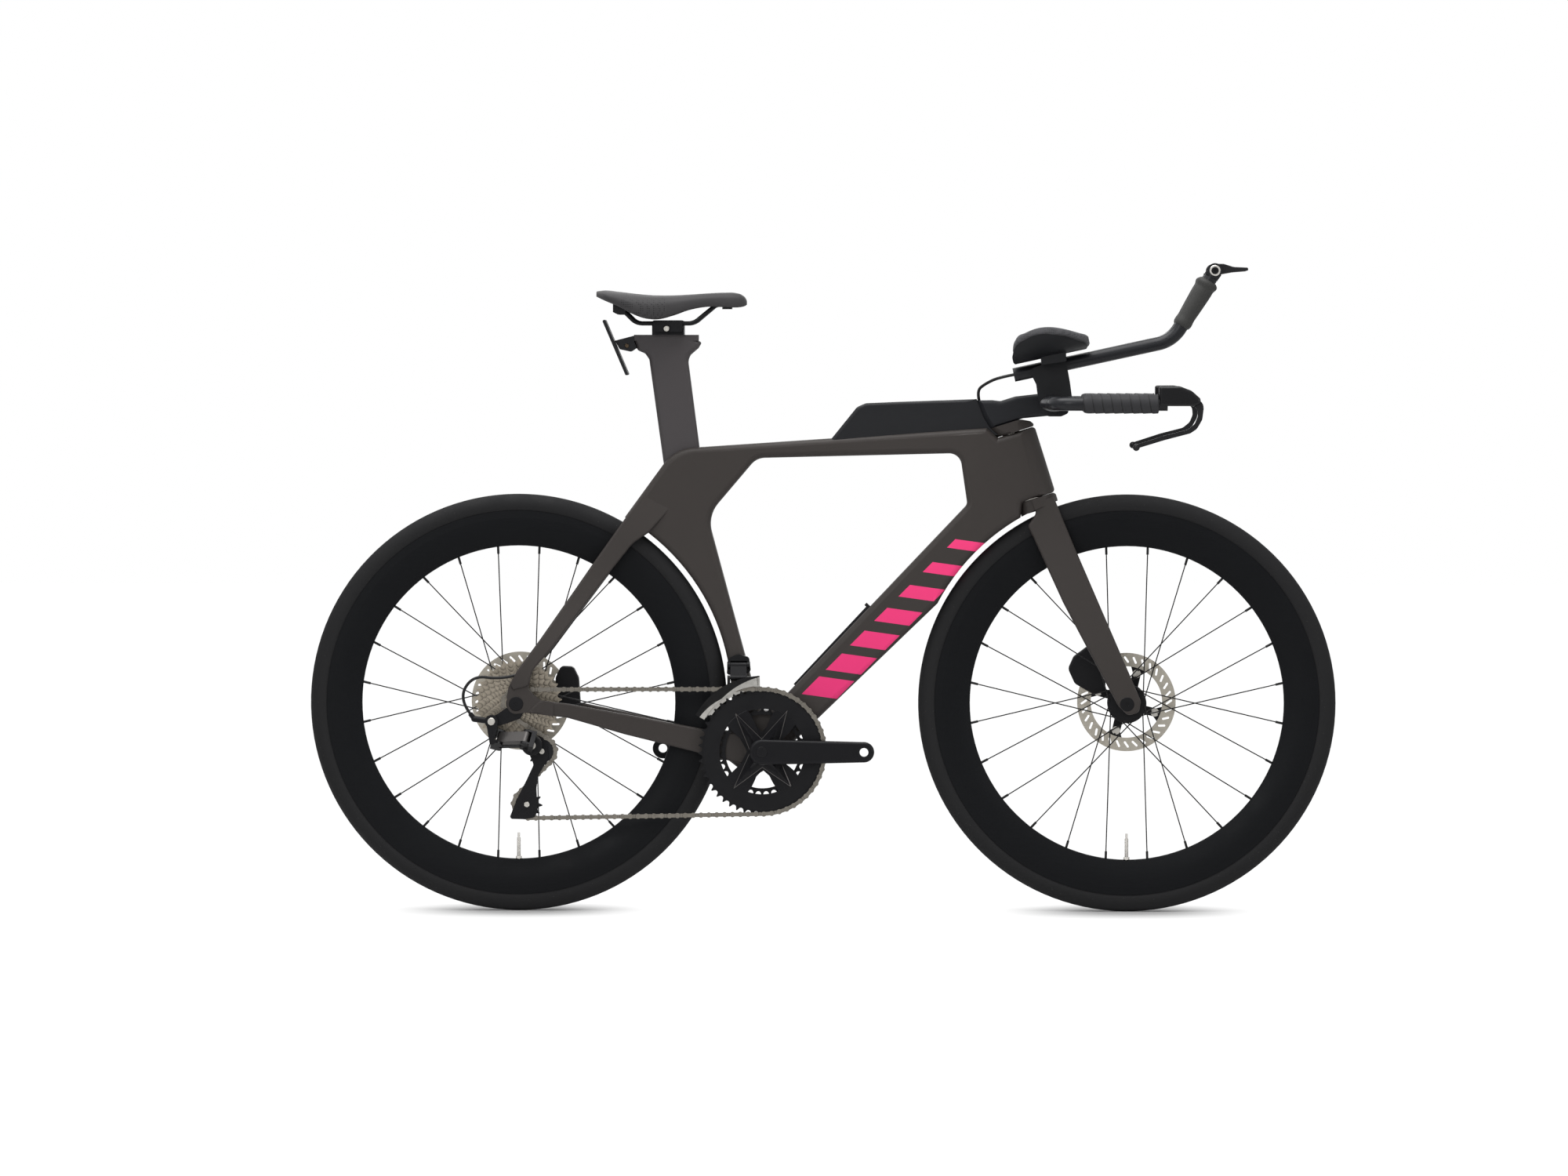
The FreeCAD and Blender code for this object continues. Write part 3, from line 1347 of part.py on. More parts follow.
CHAIN_HALF = 4.2
CHAIN_IN = 1.15
CHAIN_PLATE = 0.75
CHAIN_GAP = 0.2


def link_plate(y0, y1):
    """One side plate of a link lying along X, with its rollers at the ends."""
    a = V(-PITCH / 2, 0, 0)
    b = V(PITCH / 2, 0, 0)
    ends = [disc(a, CHAIN_HALF, y0, y1), disc(b, CHAIN_HALF, y0, y1)]
    waist = plate([V(a.x, 0, -3), V(a.x, 0, 3), V(b.x, 0, 3), V(b.x, 0, -3)], 0, y0, y1)
    return waist.fuse(ends)


def make_link(inner):
    """One chain link: inner links carry the rollers, outer links the pins."""
    low = CHAIN_IN if inner else CHAIN_IN + CHAIN_PLATE + CHAIN_GAP
    high = low + CHAIN_PLATE
    link = link_plate(low, high).fuse(link_plate(-high, -low))
    pins = []
    holes = []
    pin_r = 1.7
    for side in (-1, 1):
        c = V(side * PITCH / 2, 0, 0)
        if inner:
            pins.append(disc(c, ROLLER_R, -low, low))
            holes.append(disc(c, pin_r + 0.1, -high, high))
        else:
            pins.append(disc(c, pin_r, -high, high))
    link = link.fuse(pins)
    return link.cut(holes) if holes else link


def make_chain():
    """Every link in its place, parted into the main loop and the part held by the derailleur cage."""
    kinds = [make_link(True), make_link(False)]
    main = []
    tail = []
    for k in range(LINKS):
        p, n = SPOTS[k]
        q, m = SPOTS[(k + 1) % LINKS]
        a = V(p.x, chain_y(p.x), p.z)
        b = V(q.x, chain_y(q.x), q.z)
        link = kinds[k % 2].copy()
        d = b - a
        level = math.degrees(math.atan2(d.z, d.x))
        link.rotate(ORIGIN, V(0, -1, 0), level)
        flat = V(d.x, 0, d.z)
        tilt = math.degrees(math.atan2(d.y, flat.Length))
        link.rotate(ORIGIN, flat.cross(LEFT), tilt)
        link.translate((a + b) * 0.5)
        held = n in (3, 4, 5, 6) or (n == 2 and (p - TENSION).Length < 45)
        (tail if held else main).append(link)
    return main, tail


def toothed(c, teeth, phase, y0, y1, hole):
    """A toothed plate with a round hole and the chain rollers' seats at its phase."""
    r = pitch_r(teeth)
    tip_r = r + 2.3
    edges = []
    step = 360.0 / teeth
    tip = math.degrees(0.85 / tip_r)
    for k in range(teeth):
        a = phase + k * step
        t = math.radians(a)
        out = V(math.cos(t), 0, math.sin(t))
        along = V(-math.sin(t), 0, math.cos(t))
        mid = V(c.x, y0, c.z) + out * r
        s0 = mid - out * (SEAT_R * 0.5) - along * (SEAT_R * 0.866)
        s1 = mid - out * (SEAT_R * 0.5) + along * (SEAT_R * 0.866)
        edges.append(Part.Arc(s0, mid - out * SEAT_R, s1).toShape())
        t0 = polar(c, tip_r, a + step / 2 - tip, y0)
        t1 = polar(c, tip_r, a + step / 2 + tip, y0)
        t2 = math.radians(a + step)
        out2 = V(math.cos(t2), 0, math.sin(t2))
        along2 = V(-math.sin(t2), 0, math.cos(t2))
        n0 = V(c.x, y0, c.z) + out2 * (r - SEAT_R * 0.5) - along2 * (SEAT_R * 0.866)
        edges.append(Part.LineSegment(s1, t0).toShape())
        edges.append(Part.LineSegment(t0, t1).toShape())
        edges.append(Part.LineSegment(t1, n0).toShape())
    outer = Part.Wire(edges)
    inner = Part.Wire([Part.Circle(V(c.x, y0, c.z), LEFT, hole).toShape()])
    return Part.Face([outer, inner], "Part::FaceMakerBullseye").extrude(V(0, y1 - y0, 0))


def make_cassette():
    """Sprockets with spacers, on the freehub body with its lock ring."""
    cogs = []
    for i, teeth in enumerate(COGS):
        y = COG_Y + i * COG_STEP
        cog = toothed(REAR, teeth, COG_PHASE, y - COG_T / 2, y + COG_T / 2, FREEHUB_R + FIT)
        root = pitch_r(teeth) - SEAT_R
        if root > FREEHUB_R + 14:
            holes = []
            count = 10 if teeth < 27 else 12
            for k in range(count):
                at = polar(REAR, (root + FREEHUB_R + 4) / 2, 360.0 * k / count)
                holes.append(disc(at, min(5.0, (root - FREEHUB_R - 8) / 2), y - 2, y + 2))
            cog = cog.cut(holes)
        cogs.append(cog)
        if i > 0:
            start = y - COG_STEP + COG_T / 2
            cogs.append(ring(REAR, FREEHUB_R + 2.2, FREEHUB_R + FIT, start, y - COG_T / 2))
    inner_end = COG_Y + (len(COGS) - 1) * COG_STEP + COG_T / 2 + 0.6
    body = disc(REAR, FREEHUB_R, COG_Y - COG_T / 2, inner_end)
    lip = disc(REAR, FREEHUB_R + 1.5, inner_end - 0.6, inner_end)
    lock = disc(REAR, FREEHUB_R + 1.8, COG_Y - COG_T / 2 - 2.2, COG_Y - COG_T / 2)
    nose = disc(REAR, 11, -REAR_OLD / 2 + 0.6, COG_Y - COG_T / 2)
    body = body.fuse([lip, lock, nose]).cut(disc(REAR, AXLE_R + FIT, -REAR_OLD, 0))
    return cogs, body


# Cranks and chainrings
def two_circles(c1, r1, c2, r2, y0, y1):
    """A plate round two circles, with straight sides that touch both."""
    d = c2 - c1
    along = V(d.x, 0, d.z).normalize()
    up = V(-along.z, 0, along.x)
    k = (r1 - r2) / d.Length
    side = math.sqrt(1 - k * k)
    a = V(c1.x, y0, c1.z)
    b = V(c2.x, y0, c2.z)
    hi = along * k + up * side
    lo = along * k - up * side
    edges = [
        Part.Arc(a + lo * r1, a - along * r1, a + hi * r1).toShape(),
        Part.LineSegment(a + hi * r1, b + hi * r2).toShape(),
        Part.Arc(b + hi * r2, b + along * r2, b + lo * r2).toShape(),
        Part.LineSegment(b + lo * r2, a + lo * r1).toShape(),
    ]
    return Part.Face(Part.Wire(edges)).extrude(V(0, y1 - y0, 0))


def make_crank(way, side):
    """One arm with its axle boss and pedal hole; side is 1 for the left."""
    y0 = CRANK_OUT - CRANK_T
    tip = BB + V(way * CRANK_LEN, 0, 0)
    arm = two_circles(BB, CRANK_ROOT_R + 1.5, tip, CRANK_TIP_R, y0, CRANK_OUT)
    edges = []
    for e in arm.Edges:
        if abs(e.CenterOfMass.y - CRANK_OUT) < 0.1:
            edges.append(e)
    arm = soften(arm, edges, 4.5)
    boss_end = SHELL_WIDTH / 2 + 0.5
    arm = arm.fuse(disc(BB, CRANK_ROOT_R, boss_end, y0 + 1))
    arm = arm.cut(disc(tip, PEDAL_HOLE_R, 0, CRANK_OUT + 1))
    return arm if side > 0 else other_side(arm)


SPIDER_Y = (-47.0, -43.75)


def make_right_crank():
    """Drive side arm with its spider, and the hollow spindle pressed into it."""
    arm = make_crank(1, -1)
    y0, y1 = SPIDER_Y
    arms = []
    for a in SPIDER_ANGLES:
        lane = [polar(BB, 22, a - 90), polar(BB, BOLT_CIRCLE_R + 7, a - 12)]
        lane += [polar(BB, BOLT_CIRCLE_R + 7, a + 12), polar(BB, 22, a + 90)]
        arms.append(plate(lane, [0, 4, 4, 0], y0, y1))
    socket = -CRANK_OUT + CRANK_FACE_T
    holes = [disc(polar(BB, BOLT_CIRCLE_R, a), 4, -WIDE, 0) for a in SPIDER_ANGLES]
    holes.append(disc(BB, SPINDLE_R + FIT, socket, 0))
    arm = arm.fuse(arms).cut(holes)
    spindle = ring(BB, SPINDLE_R, SPINDLE_R - SPINDLE_WALL, socket + FIT, CRANK_OUT - 3)
    return [arm, spindle]


def make_left_crank():
    """Plain arm clamped on the spindle with two pinch bolts."""
    arm = make_crank(-1, 1)
    return arm.cut(disc(BB, SPINDLE_R + FIT, 0, CRANK_OUT + 1))


RING_BODY_IN = 69.0


def make_chainrings():
    """Big ring with four tabs in front of the spider, small ring with four behind it."""
    big = toothed(BB, RING_TEETH, RING_PHASE, RING_Y - RING_T / 2, RING_Y + RING_T / 2, RING_BODY_IN)
    y0, y1 = SPIDER_Y
    band = ring(BB, pitch_r(RING_TEETH) - SEAT_R - 2, RING_BODY_IN, y0 - 3, RING_Y + RING_T / 2)
    tabs = []
    small_tabs = []
    holes = []
    small_low = SMALL_RING_Y - RING_T / 2
    small_high = SMALL_RING_Y + RING_T / 2
    small_in = pitch_r(SMALL_RING_TEETH) - SEAT_R - 5
    for a in SPIDER_ANGLES:
        lane = [polar(BB, BOLT_CIRCLE_R - 8, a - 9), polar(BB, RING_BODY_IN + 2, a - 8)]
        lane += [polar(BB, RING_BODY_IN + 2, a + 8), polar(BB, BOLT_CIRCLE_R - 8, a + 9)]
        tabs.append(plate(lane, [3, 0, 0, 3], y0 - 3, y0))
        lane = [polar(BB, BOLT_CIRCLE_R - 7, a - 8), polar(BB, small_in + 2, a - 12)]
        lane += [polar(BB, small_in + 2, a + 12), polar(BB, BOLT_CIRCLE_R - 7, a + 8)]
        small_tabs.append(plate(lane, [3, 0, 0, 3], y1, small_high))
        holes.append(disc(polar(BB, BOLT_CIRCLE_R, a), 4, -WIDE, 0))
    big = big.fuse([band] + tabs).cut(holes)
    small = toothed(BB, SMALL_RING_TEETH, 0, small_low, small_high, small_in)
    small = small.fuse(small_tabs).cut(holes)
    bolts = []
    for a in SPIDER_ANGLES:
        at = polar(BB, BOLT_CIRCLE_R, a)
        bolt = disc(at, 4, y0 - 3, small_high)
        bolts.append(bolt.fuse([disc(at, 5.5, y0 - 4.2, y0 - 3), disc(at, 5.5, small_high, small_high + 1)]))
    return [big, small], bolts


def make_bearings():
    """Bottom bracket bearings in the shell and headset bearings in the head."""
    out = []
    half = SHELL_WIDTH / 2
    for y0 in (-half, half - BB_BEARING_W):
        out.append(ring(BB, BB_BEARING_R, SPINDLE_R + FIT, y0, y0 + BB_BEARING_W))
    low = steer_rod(LOWER_BEARING_R, HEAD_LOW, HEAD_LOW + BEARING_H)
    high = steer_rod(UPPER_BEARING_R, HEAD_HIGH - BEARING_H, HEAD_HIGH)
    bore = steer_rod(STEERER_R + FIT, HEAD_LOW - 20, HEAD_HIGH + 20)
    return out + [low.cut(bore), high.cut(bore)]


# Rear derailleur: a slanted four bar linkage between two knuckles
SLANT = math.radians(31.0)
LINK_DROP = math.radians(14.0)
LINK_LEN = 46.0
LINK_SWING = 60.0
LINK_SPACE = 13.0
HINGE = V(math.sin(LINK_DROP), 0, math.cos(LINK_DROP)) * math.cos(SLANT) + LEFT * math.sin(SLANT)
LINK_MID = V(math.cos(LINK_DROP), 0, -math.sin(LINK_DROP))
LINK_SIDE = HINGE.cross(LINK_MID)
B_BOLT = rear(-39.4, -28.1)
P_OUTER = RD_AXIS + V(-9.7, -96.0, 12.5)


def about_hinge(v, degrees):
    """A vector turned about the hinge direction."""
    t = math.radians(degrees)
    return v * math.cos(t) + HINGE.cross(v) * math.sin(t) + HINGE * (HINGE.dot(v) * (1 - math.cos(t)))


LINK_REST = about_hinge(LINK_MID, -LINK_SWING / 2) * LINK_LEN
B_OUTER = P_OUTER - LINK_REST
B_INNER = B_OUTER + LINK_SIDE * LINK_SPACE
P_INNER = P_OUTER + LINK_SIDE * LINK_SPACE
LUG_IN = 9.5
LUG_T = 3.5
LUG_R = 6.0


def along_hinge(base, r, w0, w1):
    """A round pin or boss along the hinge direction."""
    return rod(base + HINGE * w0, base + HINGE * w1, r)


def hinge_plate(corners, w0, w1):
    """A flat piece across the hinge direction."""
    pts = [p + HINGE * w0 for p in corners]
    return Part.Face(Part.makePolygon(pts + [pts[0]])).extrude(HINGE * (w1 - w0))


def make_link_bar(base, r, half):
    """One link with eyes for its two pins."""
    side = HINGE.cross(LINK_REST).normalize() * r
    tip = base + LINK_REST
    barred = hinge_plate([base - side, tip - side, tip + side, base + side], -half, half)
    barred = barred.fuse([along_hinge(base, r, -half, half), along_hinge(tip, r, -half, half)])
    eyes = [along_hinge(base, PIN_R + FIT, -half, half), along_hinge(tip, PIN_R + FIT, -half, half)]
    return barred.cut(eyes)


def make_lugs(outer, inner, way):
    """Ears above and below the link ends, the web that joins them and the two pins."""
    u = LINK_MID * way
    side = LINK_SIDE * LUG_R
    high = LUG_IN + LUG_T
    parts = []
    for w0, w1 in ((LUG_IN, high), (-high, -LUG_IN)):
        corners = [outer - side, outer - side + u * 13, inner + side + u * 13, inner + side]
        parts.append(hinge_plate(corners, w0, w1))
        parts.append(along_hinge(outer, LUG_R, w0, w1))
        parts.append(along_hinge(inner, LUG_R, w0, w1))
    web = [outer - side + u * 8.5, outer - side + u * 13, inner + side + u * 13, inner + side + u * 8.5]
    parts.append(hinge_plate(web, -high, high))
    parts.append(along_hinge(outer, PIN_R, -high, high))
    parts.append(along_hinge(inner, PIN_R, -high, high))
    return parts


HANGER_T = 6.0
STOP_FOOT = B_BOLT + V(-28, 0, 4)
STOP_WAY = V(-0.6, 0, 0.8)


def make_hanger():
    """Plate under the right dropout that carries the derailleur bolt."""
    y1 = -REAR_OLD / 2
    outline = [
        rear(-15, -6),
        rear(-6, -17),
        rear(12, -14.6),
        rear(6, -24),
        rear(-16, -32),
        rear(-34, -37),
        rear(-49, -36),
        rear(-48, -19),
        rear(-34, -19),
    ]
    hanger = plate(outline, [0, 12, 0, 5, 20, 6, 8, 8, 12], y1 - HANGER_T, y1)
    return hanger.cut([disc(B_BOLT, 5, y1 - 10, y1 + 1), FRAME])


def make_b_knuckle():
    """Upper knuckle bolted to the hanger, with the cable stop behind it."""
    y1 = -REAR_OLD / 2 - HANGER_T
    barrel = disc(B_BOLT, 10.5, y1 - 13, y1)
    bolt = disc(B_BOLT, 5, y1 - 1, y1 + HANGER_T)
    arm = plate(
        [B_BOLT + V(-9, 0, 2), B_BOLT + V(9, 0, 2), B_BOLT + V(12, 0, -30), B_BOLT + V(-2, 0, -40)],
        [0, 0, 4, 4],
        y1 - 13,
        y1 + 8,
    )
    stop = rod(B_BOLT + V(0, y1 - 7, 0), STOP_FOOT + V(0, y1 - 7, 0), 5)
    barrel_nut = rod(STOP_FOOT + V(0, y1 - 7, 0), STOP_FOOT + STOP_WAY * 11 + V(0, y1 - 7, 0), 4)
    knob = Part.makeSphere(5, STOP_FOOT + V(0, y1 - 7, 0))
    arm = arm.cut(make_hanger()).cut(disc(B_BOLT, 13, y1, y1 + 20))
    lane = hinge_plate(
        [
            B_OUTER - LINK_SIDE * 20 - LINK_MID * 8.2,
            B_OUTER - LINK_SIDE * 20 + LINK_MID * 60,
            B_INNER + LINK_SIDE * 20 + LINK_MID * 60,
            B_INNER + LINK_SIDE * 20 - LINK_MID * 8.2,
        ],
        -LUG_IN,
        LUG_IN,
    )
    arm = arm.cut(lane)
    knuckle = barrel.fuse([arm, stop, knob, barrel_nut] + make_lugs(B_OUTER, B_INNER, -1))
    knuckle = knuckle.fuse(bolt)
    return max(knuckle.Solids, key=lambda s: s.Volume)


CAGE_OUT = -64.5
CAGE_IN = -54.5
CAGE_T = 2.0
P_FACE = CAGE_OUT - CAGE_T - 1.4


def make_p_knuckle():
    """Lower knuckle: the spring barrel about the cage axis, with lugs for the links."""
    barrel = disc(RD_AXIS, 16.5, P_FACE - 24, P_FACE)
    barrel = soften(barrel, [e for e in barrel.Edges if e.CenterOfMass.y < P_FACE - 20], 3)
    parts = make_lugs(P_OUTER, P_INNER, 1)
    bridge = hinge_plate(
        [
            P_OUTER - LINK_SIDE * LUG_R + LINK_MID * 8.5,
            P_OUTER - LINK_SIDE * LUG_R + LINK_MID * 16,
            P_INNER + LINK_SIDE * LUG_R + LINK_MID * 16,
            P_INNER + LINK_SIDE * LUG_R + LINK_MID * 8.5,
        ],
        -LUG_IN - LUG_T - 4,
        LUG_IN + LUG_T,
    )
    lane = hinge_plate(
        [
            P_OUTER - LINK_SIDE * 20 + LINK_MID * 8.2,
            P_OUTER - LINK_SIDE * 20 - LINK_MID * 60,
            P_INNER + LINK_SIDE * 20 - LINK_MID * 60,
            P_INNER + LINK_SIDE * 20 + LINK_MID * 8.2,
        ],
        -LUG_IN,
        LUG_IN,
    )
    knuckle = barrel.cut(lane).fuse([bridge] + parts)
    knuckle = knuckle.cut(disc(RD_AXIS, 5 + FIT, P_FACE - 14, P_FACE + 5))
    return max(knuckle.Solids, key=lambda s: s.Volume)


def make_cage():
    """Two plates that hold the pulleys, swinging on the lower knuckle's axis."""
    def at(v):
        return RD_AXIS + swung(v, CAGE_SWING)

    outline = [
        at(V(12, 0, 14)),
        at(V(24, 0, 2)),
        at(V(26, 0, -22)),
        at(V(11, 0, -49)),
        at(V(8, 0, -70)),
        at(V(11, 0, -96)),
        at(V(10, 0, -117)),
        at(V(-10, 0, -121)),
        at(V(-34, 0, -121)),
        at(V(-22, 0, -88)),
        at(V(-8, 0, -58)),
        at(V(3, 0, -32)),
        at(V(-4, 0, -17)),
        at(V(-16, 0, -4)),
        at(V(-13, 0, 13)),
        at(V(0, 0, 17)),
    ]
    radii = [8, 10, 12, 20, 30, 12, 10, 8, 4, 25, 25, 8, 6, 8, 7, 8]
    outer = plate(outline, radii, CAGE_OUT - CAGE_T, CAGE_OUT)
    boss = disc(RD_AXIS, 13, P_FACE + 0.4, CAGE_OUT)
    pin = disc(RD_AXIS, 5, P_FACE - 13, CAGE_OUT)
    inner_outline = [
        at(V(26, 0, -2)),
        at(V(26, 0, -22)),
        at(V(11, 0, -49)),
        at(V(8, 0, -70)),
        at(V(10, 0, -96)),
        at(V(8, 0, -115)),
        at(V(-18, 0, -115)),
        at(V(-21, 0, -90)),
        at(V(-8, 0, -58)),
        at(V(3, 0, -32)),
        at(V(4, 0, -12)),
        at(V(10, 0, 3)),
    ]
    inner = plate(inner_outline, [10, 12, 20, 30, 12, 12, 12, 25, 25, 20, 14, 6], CAGE_IN, CAGE_IN + CAGE_T)
    outer = outer.fuse([boss, pin])
    bolts = []
    for c in (GUIDE, TENSION):
        bolts.append(disc(c, 3, CAGE_OUT - CAGE_T - 1, CAGE_IN + CAGE_T + 1))
    cage = outer.fuse([inner] + bolts)
    return cage


def make_pulley(c, phase):
    """Toothed pulley on its bolt."""
    y0 = COG_Y - PULLEY_T / 2
    y1 = COG_Y + PULLEY_T / 2
    wheel = toothed(c, PULLEY_TEETH, phase, y0 + 0.3, y1 - 0.3, 6)
    hub = ring(c, 10, 3 + FIT, CAGE_OUT + 0.4, CAGE_IN - 0.4)
    return wheel.fuse(hub)


# Front derailleur: a body on the seat tube, one link and the cage over the big ring
FD_PIVOT = bb(-40, 139, -34.0)
FD_LINK = V(0, -9.0, -20.0)
FD_CAGE_PIVOT = FD_PIVOT + FD_LINK
FD_OUT = -54.8
FD_IN = -43.6
FD_PLATE = 1.4


def make_fd():
    """Fixed body, swinging link and chain cage."""
    x0 = FD_PIVOT.x - 17
    x1 = FD_PIVOT.x + 20

    def barred(y, z, r, a, b):
        return Part.makeCylinder(r, b - a, V(a, y, z), V(1, 0, 0))

    body = plate(
        [bb(-58, 124), bb(-56, 150), bb(-40, 157), bb(-22, 152), bb(-19, 128), bb(-38, 121)],
        [4, 6, 8, 6, 6, 8],
        FD_PIVOT.y + 4,
        -12,
    )
    ears = []
    for a, b in ((x0, x0 + 5), (x1 - 5, x1)):
        ears.append(barred(FD_PIVOT.y, FD_PIVOT.z, 5.5, a, b))
        ear = [V(a, FD_PIVOT.y, FD_PIVOT.z - 5.5), V(a, FD_PIVOT.y, FD_PIVOT.z + 5.5)]
        ear += [V(a, FD_PIVOT.y + 8, FD_PIVOT.z + 5.5), V(a, FD_PIVOT.y + 8, FD_PIVOT.z - 5.5)]
        ears.append(Part.Face(Part.makePolygon(ear + [ear[0]])).extrude(V(b - a, 0, 0)))
    pin = barred(FD_PIVOT.y, FD_PIVOT.z, PIN_R, x0, x1)
    body = body.fuse(ears)
    lane = barred(FD_PIVOT.y, FD_PIVOT.z, 8, x0 + 5, x1 - 5)
    body = body.cut(lane).fuse(pin)
    body = body.cut(FRAME)
    gap = BRAKE_TRAVEL_GAP
    la = x0 + 5 + gap
    lb = x1 - 5 - gap
    link = barred(FD_PIVOT.y, FD_PIVOT.z, 5, la, lb)
    link = link.fuse(barred(FD_CAGE_PIVOT.y, FD_CAGE_PIVOT.z, 4.5, la, lb))
    n = V(0, -FD_LINK.z, FD_LINK.y).normalize() * 4
    strip = [V(la, FD_PIVOT.y, FD_PIVOT.z) + n, V(la, FD_CAGE_PIVOT.y, FD_CAGE_PIVOT.z) + n]
    strip += [V(la, FD_CAGE_PIVOT.y, FD_CAGE_PIVOT.z) - n, V(la, FD_PIVOT.y, FD_PIVOT.z) - n]
    link = link.fuse(Part.Face(Part.makePolygon(strip + [strip[0]])).extrude(V(lb - la, 0, 0)))
    link = link.cut(barred(FD_PIVOT.y, FD_PIVOT.z, PIN_R + FIT, la - 1, lb + 1))
    link = link.cut(barred(FD_CAGE_PIVOT.y, FD_CAGE_PIVOT.z, PIN_R + FIT, la - 1, lb + 1))
    tip_r = pitch_r(RING_TEETH) + 5.5
    eye_r = tip_r + 9
    top_r = tip_r + 16

    def band(r0, r1, a0, a1, y0, y1):
        mid = (a0 + a1) / 2
        edges = [
            Part.Arc(polar(BB, r1, a0, y0), polar(BB, r1, mid, y0), polar(BB, r1, a1, y0)).toShape(),
            Part.LineSegment(polar(BB, r1, a1, y0), polar(BB, r0, a1, y0)).toShape(),
            Part.Arc(polar(BB, r0, a1, y0), polar(BB, r0, mid, y0), polar(BB, r0, a0, y0)).toShape(),
            Part.LineSegment(polar(BB, r0, a0, y0), polar(BB, r1, a0, y0)).toShape(),
        ]
        return Part.Face(Part.Wire(edges)).extrude(V(0, y1 - y0, 0))

    outer = band(tip_r, top_r, 94, 151, FD_OUT - FD_PLATE, FD_OUT)
    inner = band(tip_r - 6, eye_r, 92, 146, FD_IN, FD_IN + FD_PLATE)
    raised = []
    for a0, a1, roof_end in ((92, 101.5, 101.5), (115.3, 146, 117.8)):
        raised.append(band(eye_r - 1, top_r, a0, a1, FD_IN, FD_IN + FD_PLATE))
        raised.append(band(top_r - 1.4, top_r, max(a0, 94), roof_end, FD_OUT, FD_IN))
    heel = band(tip_r + 2, tip_r + 8, 147, 149, FD_OUT, FD_IN + FD_PLATE)
    inner_heel = band(tip_r - 1, tip_r + 12, 143, 149, FD_IN, FD_IN + FD_PLATE)
    eyes = []
    for a, b in ((x0 + 0.5, x0 + 5), (x1 - 5, x1 - 0.5)):
        eyes.append(barred(FD_CAGE_PIVOT.y, FD_CAGE_PIVOT.z, 4, a, b))
        drop = [V(a, FD_CAGE_PIVOT.y - 4, FD_CAGE_PIVOT.z), V(a, FD_CAGE_PIVOT.y + 4, FD_CAGE_PIVOT.z)]
        foot = BB.z + math.sqrt(max(1.0, (tip_r + 15) ** 2 - ((a + b) / 2 - BB.x) ** 2)) - 2
        drop += [V(a, FD_CAGE_PIVOT.y + 4, foot), V(a, FD_CAGE_PIVOT.y - 4, foot)]
        eyes.append(Part.Face(Part.makePolygon(drop + [drop[0]])).extrude(V(b - a, 0, 0)))
    cage_pin = barred(FD_CAGE_PIVOT.y, FD_CAGE_PIVOT.z, PIN_R, x0 + 0.5, x1 - 0.5)
    cage = outer.fuse([inner, heel, inner_heel] + raised + eyes + [cage_pin])
    return body, link, cage


# Brake calipers: a body over the rotor with a pad on each side of it
PAD_GAP = 0.35
PAD_PLATE = 2.2


def make_caliper(c, outline, radii, rotor_y, y0, y1, seat):
    """Caliper body shaped to its mount, slotted for the rotor, with two pads."""
    slot = ROTOR_T / 2 + PAD_GAP + PAD_PLATE
    body = plate(outline, radii, y0, y1)
    edges = [e for e in body.Edges if abs(e.CenterOfMass.y - y0) < 0.1]
    body = soften(body, edges, 3)
    carrier = disc(c, RIVET_CIRCLE_R + RIVET_R + 5, rotor_y - CARRIER_T - 3, rotor_y + slot)
    body = body.cut([disc(c, ROTOR_R + 2.5, rotor_y - slot, rotor_y + slot), carrier, seat])
    body = max(body.Solids, key=lambda s: s.Volume)
    whole = plate(outline, radii, y0, y1)
    face = ROTOR_T / 2 + PAD_GAP
    pads = []
    for a, b in ((rotor_y + face, rotor_y + slot), (rotor_y - slot, rotor_y - face)):
        pad = ring(c, ROTOR_R - 1, ROTOR_INNER_R + 3, a, b).common(whole).cut(seat)
        pads.append(max(pad.Solids, key=lambda s: s.Volume))
    return [body] + pads


def make_rear_caliper():
    """Caliper on top of the left chain stay."""
    outline = [rear(60, -3), rear(57, 38), rear(66, 57), rear(86, 56), rear(95, 38), rear(98, -8)]
    y = REAR_ROTOR_Y
    return make_caliper(REAR, outline, [0, 10, 8, 8, 10, 0], y, y - 11, y + 9, FRAME)


def make_front_caliper():
    """Caliper behind the left fork blade."""
    outline = [
        front(-62, 92),
        front(-86, 74),
        front(-95, 54),
        front(-84, 30),
        front(-52, 12),
        front(-34, 18),
        front(-34, 40),
    ]
    y = FRONT_ROTOR_Y
    return make_caliper(FRONT, outline, [0, 10, 12, 12, 8, 0, 0], y, y - 10, y + 15, FORK)


# Saddle
def make_rail(grow=0.0):
    """One rail from the tail of the shell to its nose."""
    points = [
        bb(-229, 716, RAIL_Y + 9),
        bb(-205, 692, RAIL_Y),
        bb(-112, 692, RAIL_Y),
        bb(-76, 722, RAIL_Y - 14),
        bb(-56, 722, RAIL_Y - 15.5),
    ]
    return swept(rounded(points, [0, 22, 24, 14, 0], closed=False), RAIL_R + grow)


